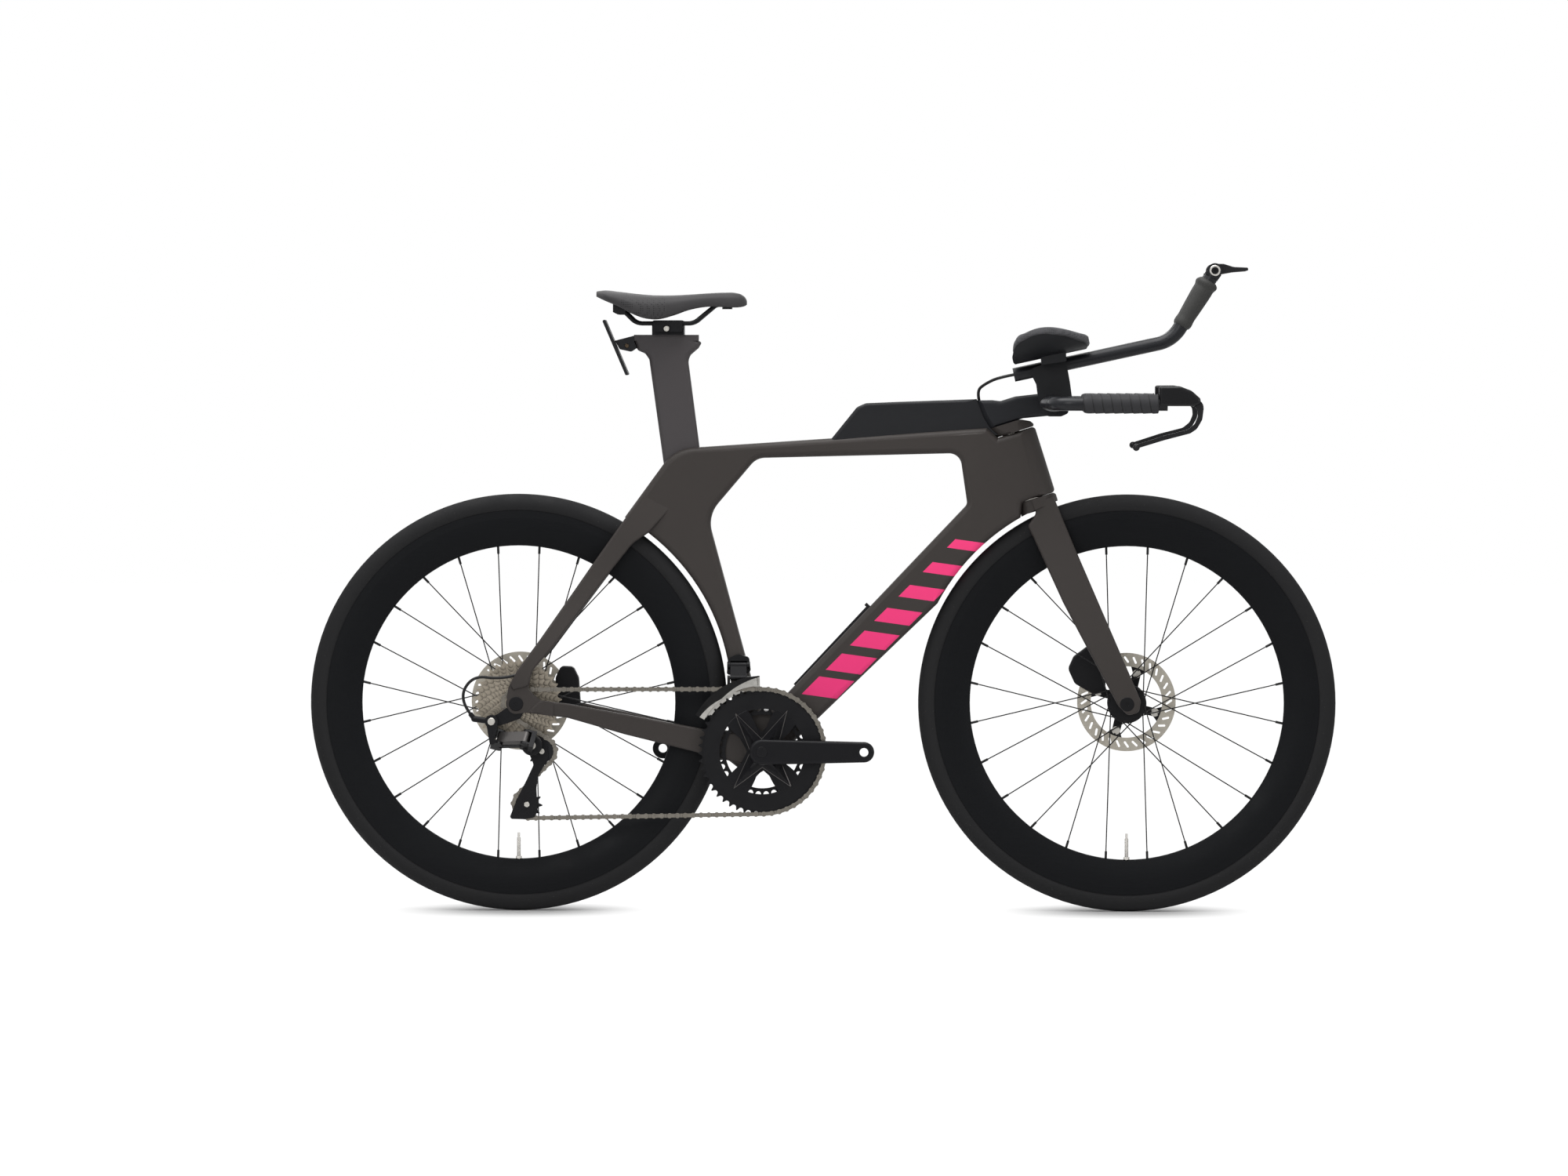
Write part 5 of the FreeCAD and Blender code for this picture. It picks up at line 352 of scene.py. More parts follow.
def knit_fabric(colours, sizes):
    """Polyester mesh knitted over foam: dark grey, dull, with rows of small round openings."""
    looks = {"Sheen_Weight": 0.12, "Sheen_Roughness": 0.5, "Specular_IOR_Level": 0.15, "Roughness": 0.88}
    made, tree, shader, place = material("polyester_mesh_knit", **looks)
    mesh = {"Vector": place, "Scale": 1 / sizes.pad_knit, "Randomness": 0.25}
    holes = node(tree, "TexVoronoi", mesh)
    yarn = node(tree, "MapRange", {0: holes, 1: 0.18, 2: 0.42})
    low, high = shades(colours.pad, 0.45)
    base = node(tree, "Mix", {0: yarn, 6: low, 7: high}, **COLOUR)
    bump = node(tree, "Bump", {"Height": yarn, "Distance": 0.5 * MM, "Strength": 0.8})
    wire(tree, shader, Base_Color=base, Normal=bump)
    return made


def saddle_microfibre(colours, sizes):
    """Coated microfibre stretched over foam: fine leather-like grain, with a patch of small pressed dots."""
    looks = {"Sheen_Weight": 0.05, "Specular_IOR_Level": 0.2, "Roughness": 0.62}
    made, tree, shader, place = material("microfibre_cover_pressed", **looks)
    grain = node(tree, "TexVoronoi", {"Vector": place, "Scale": every(1.1)})
    cloud = node(tree, "TexNoise", {"Vector": place, "Scale": every(40), "Detail": 4.0})
    low, high = shades(colours.saddle, 0.18)
    base = node(tree, "Mix", {0: cloud, 6: low, 7: high}, **COLOUR)
    rows = {"Vector": place, "Scale": 1 / sizes.saddle_dot, "Randomness": 0.0}
    dots = node(tree, "TexVoronoi", rows)
    spot = node(tree, "Math", {0: dots, 1: 0.3}, operation="LESS_THAN")
    # The dotted stretch: its middle behind the bracket axis, and half its length
    behind, half = 0.192, 0.036
    along = node(tree, "SeparateXYZ", {"Vector": place}, out="X")
    patch = node(tree, "Math", {0: along, 1: BB[0] - behind, 2: half}, operation="COMPARE")
    mark = node(tree, "Math", {0: patch, 1: spot}, operation="MULTIPLY")
    dark = node(tree, "Mix", {0: mark, 6: base, 7: (*linear("#151516"), 1)}, **COLOUR)
    height = node(tree, "Math", {0: grain, 1: mark}, operation="SUBTRACT")
    bump = node(tree, "Bump", {"Height": height, "Distance": 0.18 * MM, "Strength": 0.8})
    wire(tree, shader, Base_Color=dark, Normal=bump)
    return made


FINISH = {}


def laminate_finishes(colours):
    """Carbon laminate, lacquered or bare."""
    FINISH["frame"] = striped_lacquer(colours)
    FINISH["fork"] = frame_lacquer("carbon_laminate_matt_lacquer_plain", colours.frame_grey)
    # Carbon laminate under satin lacquer: a cooler grey than the frame, with a little more shine
    satin = {"rough": 0.46, "grain": 0.8, "relief": 0.03, "spread": 0.1, "cloud": 90.0, "span": 0.05}
    FINISH["post"] = grained("carbon_laminate_satin_lacquer", colours.post_grey, **satin)
    # Bare carbon: dull on the stem, satin along the bars, and near black without a highlight on the rims
    FINISH["carbon"] = bare_carbon("carbon_fibre_matt_resin", colours.carbon, rough=0.46, shine=0.15)
    FINISH["bar"] = bare_carbon("carbon_fibre_satin_resin", colours.carbon, rough=0.34, shine=0.2)
    FINISH["rim"] = bare_carbon("carbon_fibre_rim_laminate", colours.rim, rough=0.44, shine=0.07)


def soft_finishes(colours, sizes):
    """Rubber, tape, knit and microfibre."""
    FINISH["tyre"] = tyre_rubber(colours)
    FINISH["tape"] = wound_tape(colours, sizes)
    # Silicone rubber from a mould: soft dark grey, dull, with a fine pebble
    silicone = {"rough": 0.6, "grain": 0.9, "relief": 0.1, "spread": 0.22, "cloud": 20.0}
    FINISH["grip"] = grained("silicone_rubber_moulded", colours.grip, **silicone)
    FINISH["pad"] = knit_fabric(colours, sizes)
    FINISH["saddle"] = saddle_microfibre(colours, sizes)


def metal_finishes(colours):
    """Steel and aluminium that is ground, polished, plated or painted gloss black."""
    FINISH["front_disc"] = ground_disc("stainless_steel_ground_front", colours.disc, FRONT)
    FINISH["rear_disc"] = ground_disc("stainless_steel_ground_rear", colours.disc, REAR)
    FINISH["polished"] = cage_metal(linear("#b9b7b2"), linear("#0c0c0d"))
    # Steel under nickel plate: warm grey shine, slightly clouded, and darker between the teeth from oil and painted
    # shade
    plate = {"grain": 1.5, "relief": 0.02, "cloud": 9.0, "Metallic": 1.0}
    FINISH["plate"] = grained("steel_nickel_plated", colours.plate, rough=0.3, spread=0.18, crevice=5.0, **plate)
    FINISH["chain"] = grained("steel_plated_oiled", colours.chain, rough=0.32, spread=0.2, crevice=2.5, **plate)
    # Aluminium forged and painted gloss black: deep black whose facets differ a little
    paint = {"Specular_IOR_Level": 0.05, "Coat_Weight": 0.1, "Coat_Roughness": 0.1}
    gloss = {"rough": 0.34, "grain": 0.8, "relief": 0.02, "cloud": 30.0, "span": 0.05, **paint}
    FINISH["gloss"] = grained("aluminium_forged_gloss_paint", linear("#161618"), **gloss)


# Material, colour, roughness, grain and relief in mm, spread of shade, clouds in mm, span of gloss, and share of metal
PLAIN_FINISHES = {
    # Satin paint on lever blades: black with a soft shine along the edges
    "lever": ("aluminium_satin_paint", "#141416", 0.36, 0.8, 0.03, 0.12, 30.0, 0.08, 0.0),
    # Blasted and anodised: dark satin metal, and a plain grey one on the derailleur's outer link
    "anodised": ("aluminium_anodised_black", "#101012", 0.4, 0.6, 0.03, 0.15, 20.0, 0.08, 0.4),
    "grey": ("aluminium_anodised_grey", "#4c4a49", 0.36, 0.6, 0.03, 0.15, 20.0, 0.08, 0.8),
    # Tumbled bright: pale metal with soft scratches
    "bright": ("aluminium_tumbled", "#c9c6c1", 0.26, 1.0, 0.02, 0.1, 6.0, 0.08, 1.0),
    # Plated screws: pale zinc, and brown on the post's screw
    "bolt": ("steel_zinc_plated", "#b4b1ab", 0.32, 0.8, 0.02, 0.1, 5.0, 0.08, 1.0),
    "bronze": ("steel_oil_slick_plated", "#4b4034", 0.32, 0.8, 0.02, 0.12, 5.0, 0.08, 1.0),
    # Wire blackened in salts: dark with a thin shine
    "spoke": ("steel_blackened_drawn", "#0c0c0d", 0.4, 0.5, 0.01, 0.15, 20.0, 0.08, 0.0),
    # Moulded nylon: gloss black and a little wavy on levers and saddle shell, and matt elsewhere
    "nylon": ("nylon_glass_filled_gloss", "#0d0d0f", 0.2, 4.0, 0.03, 0.15, 40.0, 0.05, 0.0),
    "nylon_matt": ("nylon_glass_filled_matt", "#0f1013", 0.48, 0.9, 0.05, 0.15, 40.0, 0.08, 0.0),
    # Housing drawn through a die: even black plastic
    "housing": ("polypropylene_drawn", "#131314", 0.4, 0.8, 0.02, 0.15, 30.0, 0.08, 0.0),
}


def plain_finishes():
    """Finishes that the table gives."""
    for key, (name, code, *looks, metal) in PLAIN_FINISHES.items():
        FINISH[key] = grained(name, linear(code), *looks, Metallic=metal)


def dress(name, base, *patches):
    """Gives a CAD node its finish, and other finishes to the faces that a rule on their middles picks."""
    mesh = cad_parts[name].data
    mesh.materials.clear()
    mesh.materials.append(FINISH[base])
    if not patches:
        return
    middles = np.empty(len(mesh.polygons) * 3)
    mesh.polygons.foreach_get("center", middles)
    x, y, z = middles.reshape(-1, 3).T
    index = np.zeros(len(mesh.polygons), np.int32)
    for i, (finish, rule) in enumerate(patches, 1):
        mesh.materials.append(FINISH[finish])
        index[rule(x, y, z)] = i
    mesh.polygons.foreach_set("material_index", index)


def dress_all(finishes):
    """Gives each finish to its CAD nodes."""
    for finish, names in finishes.items():
        for name in names:
            dress(name, finish)


def away(centre, x, z):
    """Distance from a wheel's middle in side view."""
    return np.hypot(x - centre[0], z - centre[2])


# Surfaces
def skin(name, grids, body, finish, crease):
    """Closed shells from rings of points: quads join neighbouring rings, and a fan to its middle closes each end."""
    points, faces, start = [], [], 0
    for grid in grids:
        rings, around, _ = grid.shape
        own = np.concatenate([grid.reshape(-1, 3), grid[[0, -1]].mean(axis=1)])
        base = np.arange(rings * around).reshape(rings, around)
        after = np.roll(base, -1, axis=1)
        quads = np.stack([base[:-1], after[:-1], after[1:], base[1:]], axis=-1).reshape(-1, 4)
        low = np.stack([after[0], base[0], np.full(around, rings * around)], axis=-1)
        high = np.stack([base[-1], after[-1], np.full(around, rings * around + 1)], axis=-1)
        fans = np.concatenate([low, high])
        # A negative volume means that the faces look inward, so they are turned round
        triangles = np.concatenate([quads[:, [0, 1, 2]], quads[:, [0, 2, 3]], fans])
        a, b, c = (own - own.mean(axis=0))[triangles].transpose(1, 0, 2)
        way = -1 if np.einsum("ij,ij->i", a, np.cross(b, c)).sum() < 0 else 1
        faces += (quads[:, ::way] + start).tolist() + (fans[:, ::way] + start).tolist()
        points.append(own)
        start += len(own)
    return place_mesh(name, np.concatenate(points), faces, body, finish, crease)


def place_mesh(name, points, faces, body, finish, crease):
    """Puts a mesh into the scene at the origin, smooth except at sharp edges, riding on a body."""
    mesh = bpy.data.meshes.new(name)
    mesh.from_pydata(points.tolist(), [], faces)
    mesh.polygons.foreach_set("use_smooth", np.ones(len(mesh.polygons), bool))
    mesh.set_sharp_from_angle(angle=math.radians(crease))
    mesh.materials.append(FINISH[finish])
    piece = bpy.data.objects.new(name, mesh)
    bpy.context.scene.collection.objects.link(piece)
    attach(piece, body)
    return piece


def smooth_table(rows, at):
    """Values at new places from rows of (place, value, ...): a cubic through the rows, eased with their own slopes."""
    rows = np.asarray(rows, float)
    x, y = rows[:, 0], rows[:, 1:]
    slope = np.gradient(y, x, axis=0)
    i = np.clip(np.searchsorted(x, at) - 1, 0, len(x) - 2)
    h = (x[i + 1] - x[i])[:, None]
    t = ((at - x[i])[:, None]) / h
    flat = (2 * t**3 - 3 * t**2 + 1) * y[i] + (3 * t**2 - 2 * t**3) * y[i + 1]
    return flat + (t**3 - 2 * t**2 + t) * h * slope[i] + (t**3 - t**2) * h * slope[i + 1]


def round_off(share):
    """Quarter circle that rises from 0 to 1 as its share does: sqrt(1 - (1 - share)^2)."""
    return np.sqrt(1 - (1 - share) ** 2)


def full_turn(count):
    """Angles of evenly spaced points round a ring."""
    return np.linspace(0, 2 * math.pi, count, endpoint=False)


def mirrored(grid):
    """The same rings on the other side of the bike."""
    return grid * np.array((1, -1, 1))


class BIKE_OT_stage(Operator):
    """White floor and soft studio light, seen by a camera that stands where the photograph was taken"""

    bl_idname = "bike.stage"
    bl_label = "Stage"

    def execute(self, context):
        scene = context.scene
        scene.view_settings.view_transform = "Standard"
        self.camera(scene)
        self.lamps(scene)
        self.white_world(scene)
        self.white_floor(scene)
        return {"FINISHED"}

    def camera(self, scene):
        """A long lens from far off, turned by yaw and pitch and then rolled about its own axis."""
        ahead = np.array((-math.sin(YAW) * math.cos(PITCH), math.cos(YAW) * math.cos(PITCH), -math.sin(PITCH)))
        right = np.array((math.cos(YAW), math.sin(YAW), 0.0))
        up = np.cross(right, ahead)
        side = right * math.cos(ROLL) + up * math.sin(ROLL)
        head = up * math.cos(ROLL) - right * math.sin(ROLL)
        turn = Matrix(np.stack([side, head, -ahead], axis=1).tolist())
        eye = bpy.data.cameras.new("camera")
        eye.sensor_width = SENSOR
        eye.lens = LENS
        eye.clip_end = CLIP_END
        camera = bpy.data.objects.new("camera", eye)
        camera.matrix_world = Matrix.Translation(CAMERA_AT) @ turn.to_4x4()
        scene.collection.objects.link(camera)
        scene.camera = camera

    def lamps(self, scene):
        """Soft boxes above, before, beside and behind the bike."""
        for name, (at, wide, high, power) in LAMPS.items():
            lamp = bpy.data.lights.new(name, "AREA")
            lamp.shape = "RECTANGLE"
            lamp.size = wide
            lamp.size_y = high
            lamp.energy = power
            holder = bpy.data.objects.new(name, lamp)
            facing = Vector(LAMP_AIM) - Vector(at)
            holder.matrix_world = Matrix.Translation(at) @ facing.to_track_quat("-Z", "Y").to_matrix().to_4x4()
            scene.collection.objects.link(holder)

    def white_world(self, scene):
        """White where it is seen, also in a reflection or through glass, and a dimmer even light on the bike."""
        world = bpy.data.worlds.new("studio")
        scene.world = world
        world.use_nodes = True
        tree = world.node_tree
        rays = node(tree, "LightPath", out=None)
        seen = rays["Is Camera Ray"]
        for kind in ("Is Glossy Ray", "Is Transmission Ray"):
            seen = node(tree, "Math", {0: seen, 1: rays[kind]}, operation="MAXIMUM")
        strength = node(tree, "MapRange", {0: seen, 3: WORLD_LIGHT})
        back = tree.nodes["Background"]
        back.inputs["Color"].default_value = WHITE
        wire(tree, back, Strength=strength)

    def white_floor(self, scene):
        """Wide pale paper. To the camera its colour is darkened round the tyres' contacts, a painted shadow over its
        real one, and it is just white further out.
        """
        made, tree, shader, place = material("studio_paper_matt", Roughness=0.9, Specular_IOR_Level=0.1)
        grain = node(tree, "TexNoise", {"Vector": place, "Scale": every(25), "Detail": 3.0})
        tones = {0: grain, 6: (*linear("#e9e9e9"), 1), 7: (*linear("#eeeeee"), 1)}
        paper = node(tree, "Mix", tones, **COLOUR)
        # Distance from the nearer contact: the wheels stand equally far before and behind the origin
        both = node(tree, "VectorMath", {0: place}, operation="ABSOLUTE")
        contact = {0: both, 1: (FRONT[0], 0.0, 0.0)}
        out = node(tree, "VectorMath", contact, operation="DISTANCE", out="Value")
        ease = {0: out, 1: SHADE_NEAR, 2: SHADE_FAR}
        far = node(tree, "MapRange", ease, interpolation_type="SMOOTHSTEP")
        # Painted shadow: to the camera the paper's colour falls to a share of itself near each contact
        painted_shadow = node(tree, "MapRange", {0: far, 3: PAINTED_SHADOW_SHARE, 4: 0.0})
        shown = node(tree, "Mix", {0: painted_shadow, 6: BLACK, 7: paper}, **COLOUR)
        ray = node(tree, "LightPath", out="Is Camera Ray")
        base = node(tree, "Mix", {0: ray, 6: paper, 7: shown}, **COLOUR)
        fill = node(tree, "Math", {0: ray, 1: far}, operation="MULTIPLY")
        shader.inputs["Emission Color"].default_value = WHITE
        wire(tree, shader, Base_Color=base, Emission_Strength=fill)
        corners = [(x * FLOOR_REACH, y * FLOOR_REACH, 0.0) for x, y in ((-1, -1), (1, -1), (1, 1), (-1, 1))]
        mesh = bpy.data.meshes.new("floor")
        mesh.from_pydata(corners, [], [(0, 1, 2, 3)])
        mesh.materials.append(made)
        floor = bpy.data.objects.new("floor", mesh)
        scene.collection.objects.link(floor)


class BIKE_OT_cables(Operator):
    """Cable housings: two from the extensions to the stem and one from the stay to the rear derailleur"""

    bl_idname = "bike.cables"
    bl_label = "Cables"

    def execute(self, context):
        shift = [
            (323.408, 55.0, 872.157),
            (287.408, 52.0, 866.157),
            (263.408, 33.0, 855.157),
            (248.86, 14.0, 842.96),
            (254.7, 12.0, 822.78),
        ]
        rear = [
            (-494.0, -77.0, 384.0),
            (-519.0, -81.0, 378.0),
            (-563.0, -84.0, 384.0),
            (-585.0, -84.0, 346.7),
            (-567.0, -84.0, 322.7),
        ]
        shift_long, rear_long = 0.1117, 0.1329
        shift = np.array(shift) * MM
        rear = np.array(rear) * MM
        self.lay("shift_cable_left", shift, "steering", shift_long, "shift_cables")
        self.lay("shift_cable_right", mirrored(shift), "steering", shift_long, "shift_cables")
        self.lay("rear_cable", rear, "frame", rear_long, "rd_cable")
        return {"FINISHED"}

    def lay(self, name, route, body, long, stands_for):
        """A round housing along a smooth spline whose control points are the route's."""
        curve = bpy.data.curves.new(name, "CURVE")
        curve.dimensions = "3D"
        spline = curve.splines.new("NURBS")
        spline.points.add(len(route) - 1)
        spline.points.foreach_set("co", np.c_[route, np.ones(len(route))].ravel())
        spline.order_u = 3
        spline.use_endpoint_u = True
        spline.resolution_u = 16
        curve.bevel_depth = HOUSING / 2
        curve.bevel_resolution = 6
        curve.use_fill_caps = True
        curve.materials.append(FINISH["housing"])
        piece = bpy.data.objects.new(name, curve)
        bpy.context.scene.collection.objects.link(piece)
        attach(piece, body)
        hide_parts(stands_for)


class BIKE_OT_frame_finish(Operator):
    """Lacquer on frame, fork and post, and finishes of the fittings on them"""

    bl_idname = "bike.frame_finish"
    bl_label = "Frame"

    def execute(self, context):
        dress_all({
            "frame": ["frame"],
            "fork": ["fork", "headset_cap"],
            "post": ["seatpost"],
            "anodised": ["derailleur_hanger", "saddle_clamp"],
            "bolt": ["bearings"],
            "nylon_matt": ["storage_box", "bottle_mounts"],
            "gloss": ["saddle_rails"],
            "nylon": ["saddle_shell"],
        })
        return {"FINISHED"}


class BIKE_OT_cockpit_finish(Operator):
    """Carbon and moulded finishes on stem, bars, towers, cups, levers and shifters"""

    bl_idname = "bike.cockpit_finish"
    bl_label = "Cockpit"

    def execute(self, context):
        dress_all({
            "carbon": ["stem"],
            "bar": ["base_bar", "extensions"],
            "nylon_matt": ["riser_towers", "arm_cups", "shifter_bodies"],
            "nylon": ["brake_lever_bodies"],
            "lever": ["brake_lever_left", "brake_lever_right", "shift_lever_left", "shift_lever_right"],
        })
        return {"FINISHED"}


class BIKE_OT_wheel_finish(Operator):
    """Rubber, carbon, steel and aluminium on both wheels and their brakes"""

    bl_idname = "bike.wheel_finish"
    bl_label = "Wheels"

    def execute(self, context):
        # Each disc's middle plane
        front_plane, rear_plane = 0.0396, 0.0557
        self.wheel("front", FRONT, front_plane)
        self.wheel("rear", REAR, rear_plane)
        return {"FINISHED"}

    def wheel(self, end, centre, plane):
        """Finishes of one wheel. The valve, the disc's ring and its rivets are told by their place on their node."""
        rim_edge, carrier_edge = 0.2535, 0.0575
        rivet_circle, rivet_reach, half_disc = 0.049, 0.0052, 0.00095

        def valve(x, y, z):
            return away(centre, x, z) < rim_edge

        def ring(x, y, z):
            return away(centre, x, z) > carrier_edge

        def rivet(x, y, z):
            near = np.abs(away(centre, x, z) - rivet_circle) < rivet_reach
            return near & (np.abs(y - plane) > half_disc)

        dress(end + "_tyre", "tyre")
        dress(end + "_rim", "rim", ("bright", valve))
        dress(end + "_spokes", "spoke")
        dress(end + "_rotor", "anodised", (end + "_disc", ring), ("bolt", rivet))
        for part in ("_hub", "_axle", "_caliper"):
            dress(end + part, "anodised")


class BIKE_OT_drive_finish(Operator):
    """Finishes of cranks, rings, chain, sprockets and both derailleurs"""

    bl_idname = "bike.drive_finish"
    bl_label = "Drive"

    def execute(self, context):
        dress_all({
            "gloss": ["crank_right", "crank_left"],
            "chain": ["chain", "chain_tail"],
            "plate": ["cassette_sprockets"],
            "grey": ["rd_outer_link"],
            "nylon_matt": ["guide_pulley", "tension_pulley"],
            "polished": ["fd_cage"],
            "anodised": [
                "chainrings",
                "chainring_bolts",
                "freehub_body",
                "rd_b_knuckle",
                "rd_inner_link",
                "rd_p_knuckle",
                "rd_cage",
                "fd_body",
                "fd_link",
            ],
        })
        return {"FINISHED"}


class BIKE_OT_saddle(Operator):
    """Saddle cover: moulded foam under stretched microfibre"""

    bl_idname = "bike.saddle"
    bl_label = "Saddle cover"

    def execute(self, context):
        # From tail to nose: place ahead of the bracket axis, half width, top and skirt above that axis
        stations = [
            (-269, 34, 744, 735),
            (-256, 58, 745.5, 729),
            (-232, 67, 743.4, 719),
            (-205, 67, 740.4, 705),
            (-180, 60, 738.3, 698.5),
            (-150, 47, 737.8, 704),
            (-120, 35, 739, 714),
            (-90, 28.5, 741, 719),
            (-62, 25, 742.2, 718.5),
            (-45, 22.5, 741.8, 718),
            (-34, 17, 738.2, 719),
            (-28.5, 10.5, 733, 721),
            (-26.5, 6, 729, 722.5),
        ]
        tail, nose = stations[0][0], stations[-1][0]
        # Rings stand closer together round the nose
        places = np.concatenate([np.linspace(tail, -48, 78), np.linspace(-45.5, nose, 20)])
        half, top, low = smooth_table(stations, places).T
        grid = self.rings(places, half, top, low)
        cover = skin("saddle_cover_skin", [grid], "frame", "saddle", 50.0)
        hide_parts("saddle_cover")
        return {"FINISHED"}

    def rings(self, places, half, top, low):
        """Each ring runs over the top from skirt to skirt and back one wall below, with a groove along the middle.

        From the middle out, y = half * share and z = top - (top - low) * fall - depth * groove, by the table's steps.
        """
        share = np.array((0, 0.13, 0.3, 0.48, 0.74, 0.95, 1.0, 0.97, 0.9))
        fall = np.array((0, 0, 0.01, 0.03, 0.12, 0.34, 0.62, 0.88, 1.0))
        groove = np.array((1.0, 0.35, 0.06, 0, 0, 0, 0, 0, 0))
        table = smooth_table(np.c_[np.arange(9), share, fall, groove], np.linspace(0, 8, 33))
        depth = 6 * np.minimum(1, half / 40)
        # The wall is 8 mm and thins out over the last 12 mm at both ends
        ends = np.minimum(1, np.minimum(places - places[0], places[-1] - places) / 12)
        wall = 1.5 + 6.5 * round_off(ends)
        sides = []
        for inset in (np.zeros_like(half), np.minimum(wall, half * 0.6)):
            drop = (top - low) * (1 - inset / 40)
            y = (half - inset)[:, None] * table[:, 0]
            z = (top - inset)[:, None] - drop[:, None] * table[:, 1] - depth[:, None] * table[:, 2]
            sides.append(np.stack([y, np.maximum(z, low[:, None])], axis=-1))
        outer, inner = sides
        left = outer[:, ::-1] * np.array((-1, 1))
        under = inner[:, 1:] * np.array((-1, 1))
        section = np.concatenate([left[:, :-1], outer, inner[:, ::-1], under], axis=1)
        x = np.broadcast_to(places[:, None], section.shape[:2])
        return np.stack([x, section[..., 0], section[..., 1]], axis=-1) * MM + BB


class BIKE_OT_arm_pads(Operator):
    """Arm pads: foam under mesh fabric, bent to the trough of the arm cups"""

    bl_idname = "bike.arm_pads"
    bl_label = "Arm pads"

    def execute(self, context):
        grid = self.rings()
        for name, rings in (("arm_pad_left", grid), ("arm_pad_right", mirrored(grid))):
            pad = skin(name, [rings], "steering", "pad", 60.0)
            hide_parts("arm_pads")
        return {"FINISHED"}

    def rings(self):
        """Rings across the left pad, each a long flat loop bent round the trough's axis.

        With t round the loop, angle = reach * cos(t)^0.3 from straight down and radius = middle + half * puff *
        sin(t)^0.75, where reach = arccos(1 - rise / trough) follows the pad's edge and puff rounds off both ends.
        """
        # Height of the pad's edge along the arm, and the most it may be
        edge = [(-57, 14), (-55, 22), (-48, 35), (-30, 43), (-8, 46.5)]
        edge += [(12, 43), (34, 33), (54, 20.5), (64, 14), (67, 11)]
        edge_limit, trough, middle, half = 47.0, 49.5, 43.4, 5.35
        axis_up, end_round, tilt = 52, 6, math.radians(12.3)
        cup_ahead, cup_out, cup_up = -6, 92, 75
        places = np.linspace(-56.5, 66.5, 64)
        rise = np.minimum(smooth_table(edge, places)[:, 0], edge_limit)
        reach = np.arccos(1 - rise / trough)
        ends = np.minimum(places - places[0], places[-1] - places) / end_round
        puff = round_off(np.clip(ends, 0.02, 1))
        turn = full_turn(96)
        across = np.sign(np.cos(turn)) * np.abs(np.cos(turn)) ** 0.3
        thick = np.sign(np.sin(turn)) * np.abs(np.sin(turn)) ** 0.75
        angle = reach[:, None] * across
        radius = middle + half * puff[:, None] * thick
        y = radius * np.sin(angle)
        z = axis_up - radius * np.cos(angle)
        x = np.broadcast_to(places[:, None], y.shape)
        ahead = cup_ahead + x * math.cos(tilt) - z * math.sin(tilt)
        up = cup_up + x * math.sin(tilt) + z * math.cos(tilt)
        return np.stack([ahead, y + cup_out, up], axis=-1) * MM + BAR


class BIKE_OT_bar_tape(Operator):
    """Bar tape: a strip wound round each horn so that each turn laps the one behind it"""

    bl_idname = "bike.bar_tape"
    bl_label = "Bar tape"

    def execute(self, context):
        grid = self.rings(context.scene.bike_sizes)
        for name, rings in (("bar_tape_left", grid), ("bar_tape_right", mirrored(grid))):
            tape = skin(name, [rings], "steering", "tape", 40.0)
            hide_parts("bar_tape")
        return {"FINISHED"}

    def rings(self, sizes):
        """Rings along the left horn.

        With b the share of a turn since its edge, height = radius - lap + lap * min(b / 0.12, 1) * (1 - 0.8 * b): each
        edge stands a lap high, and the strip then falls back towards its bed.
        """
        start, end = TAPE_START / MM, TAPE_END / MM
        radius, bed = 15.8, 11.3
        edge, fall = 0.12, 0.8
        # A plain cuff at the rear end eases into the wraps, and both ends are rounded down to the bed
        cuff_sunk, cuff_long, cuff_ease = 0.4, 12, 6
        rear_round, front_round = 9, 2
        lap = sizes.tape_lap / MM
        pitch = (end - start) / sizes.tape_wraps
        turn = full_turn(72)
        places = np.linspace(start, end, 260)
        beat = ((places[:, None] - start) / pitch + turn / (2 * math.pi)) % 1
        wraps = radius - lap + lap * np.minimum(beat / edge, 1) * (1 - fall * beat)
        cuff = radius - cuff_sunk * lap
        wound = np.clip((places - start - cuff_long) / cuff_ease, 0, 1)[:, None]
        height = cuff + (wraps - cuff) * wound
        first = np.clip((places - start) / rear_round, 0, 1)[:, None]
        last = np.clip((end - places) / front_round, 0, 1)[:, None]
        height = bed + (height - bed) * round_off(first) * round_off(last)
        x = np.broadcast_to(places[:, None], height.shape)
        y = height * np.cos(turn) + HORN_OUT / MM
        return np.stack([x, y, height * np.sin(turn)], axis=-1) * MM + BAR


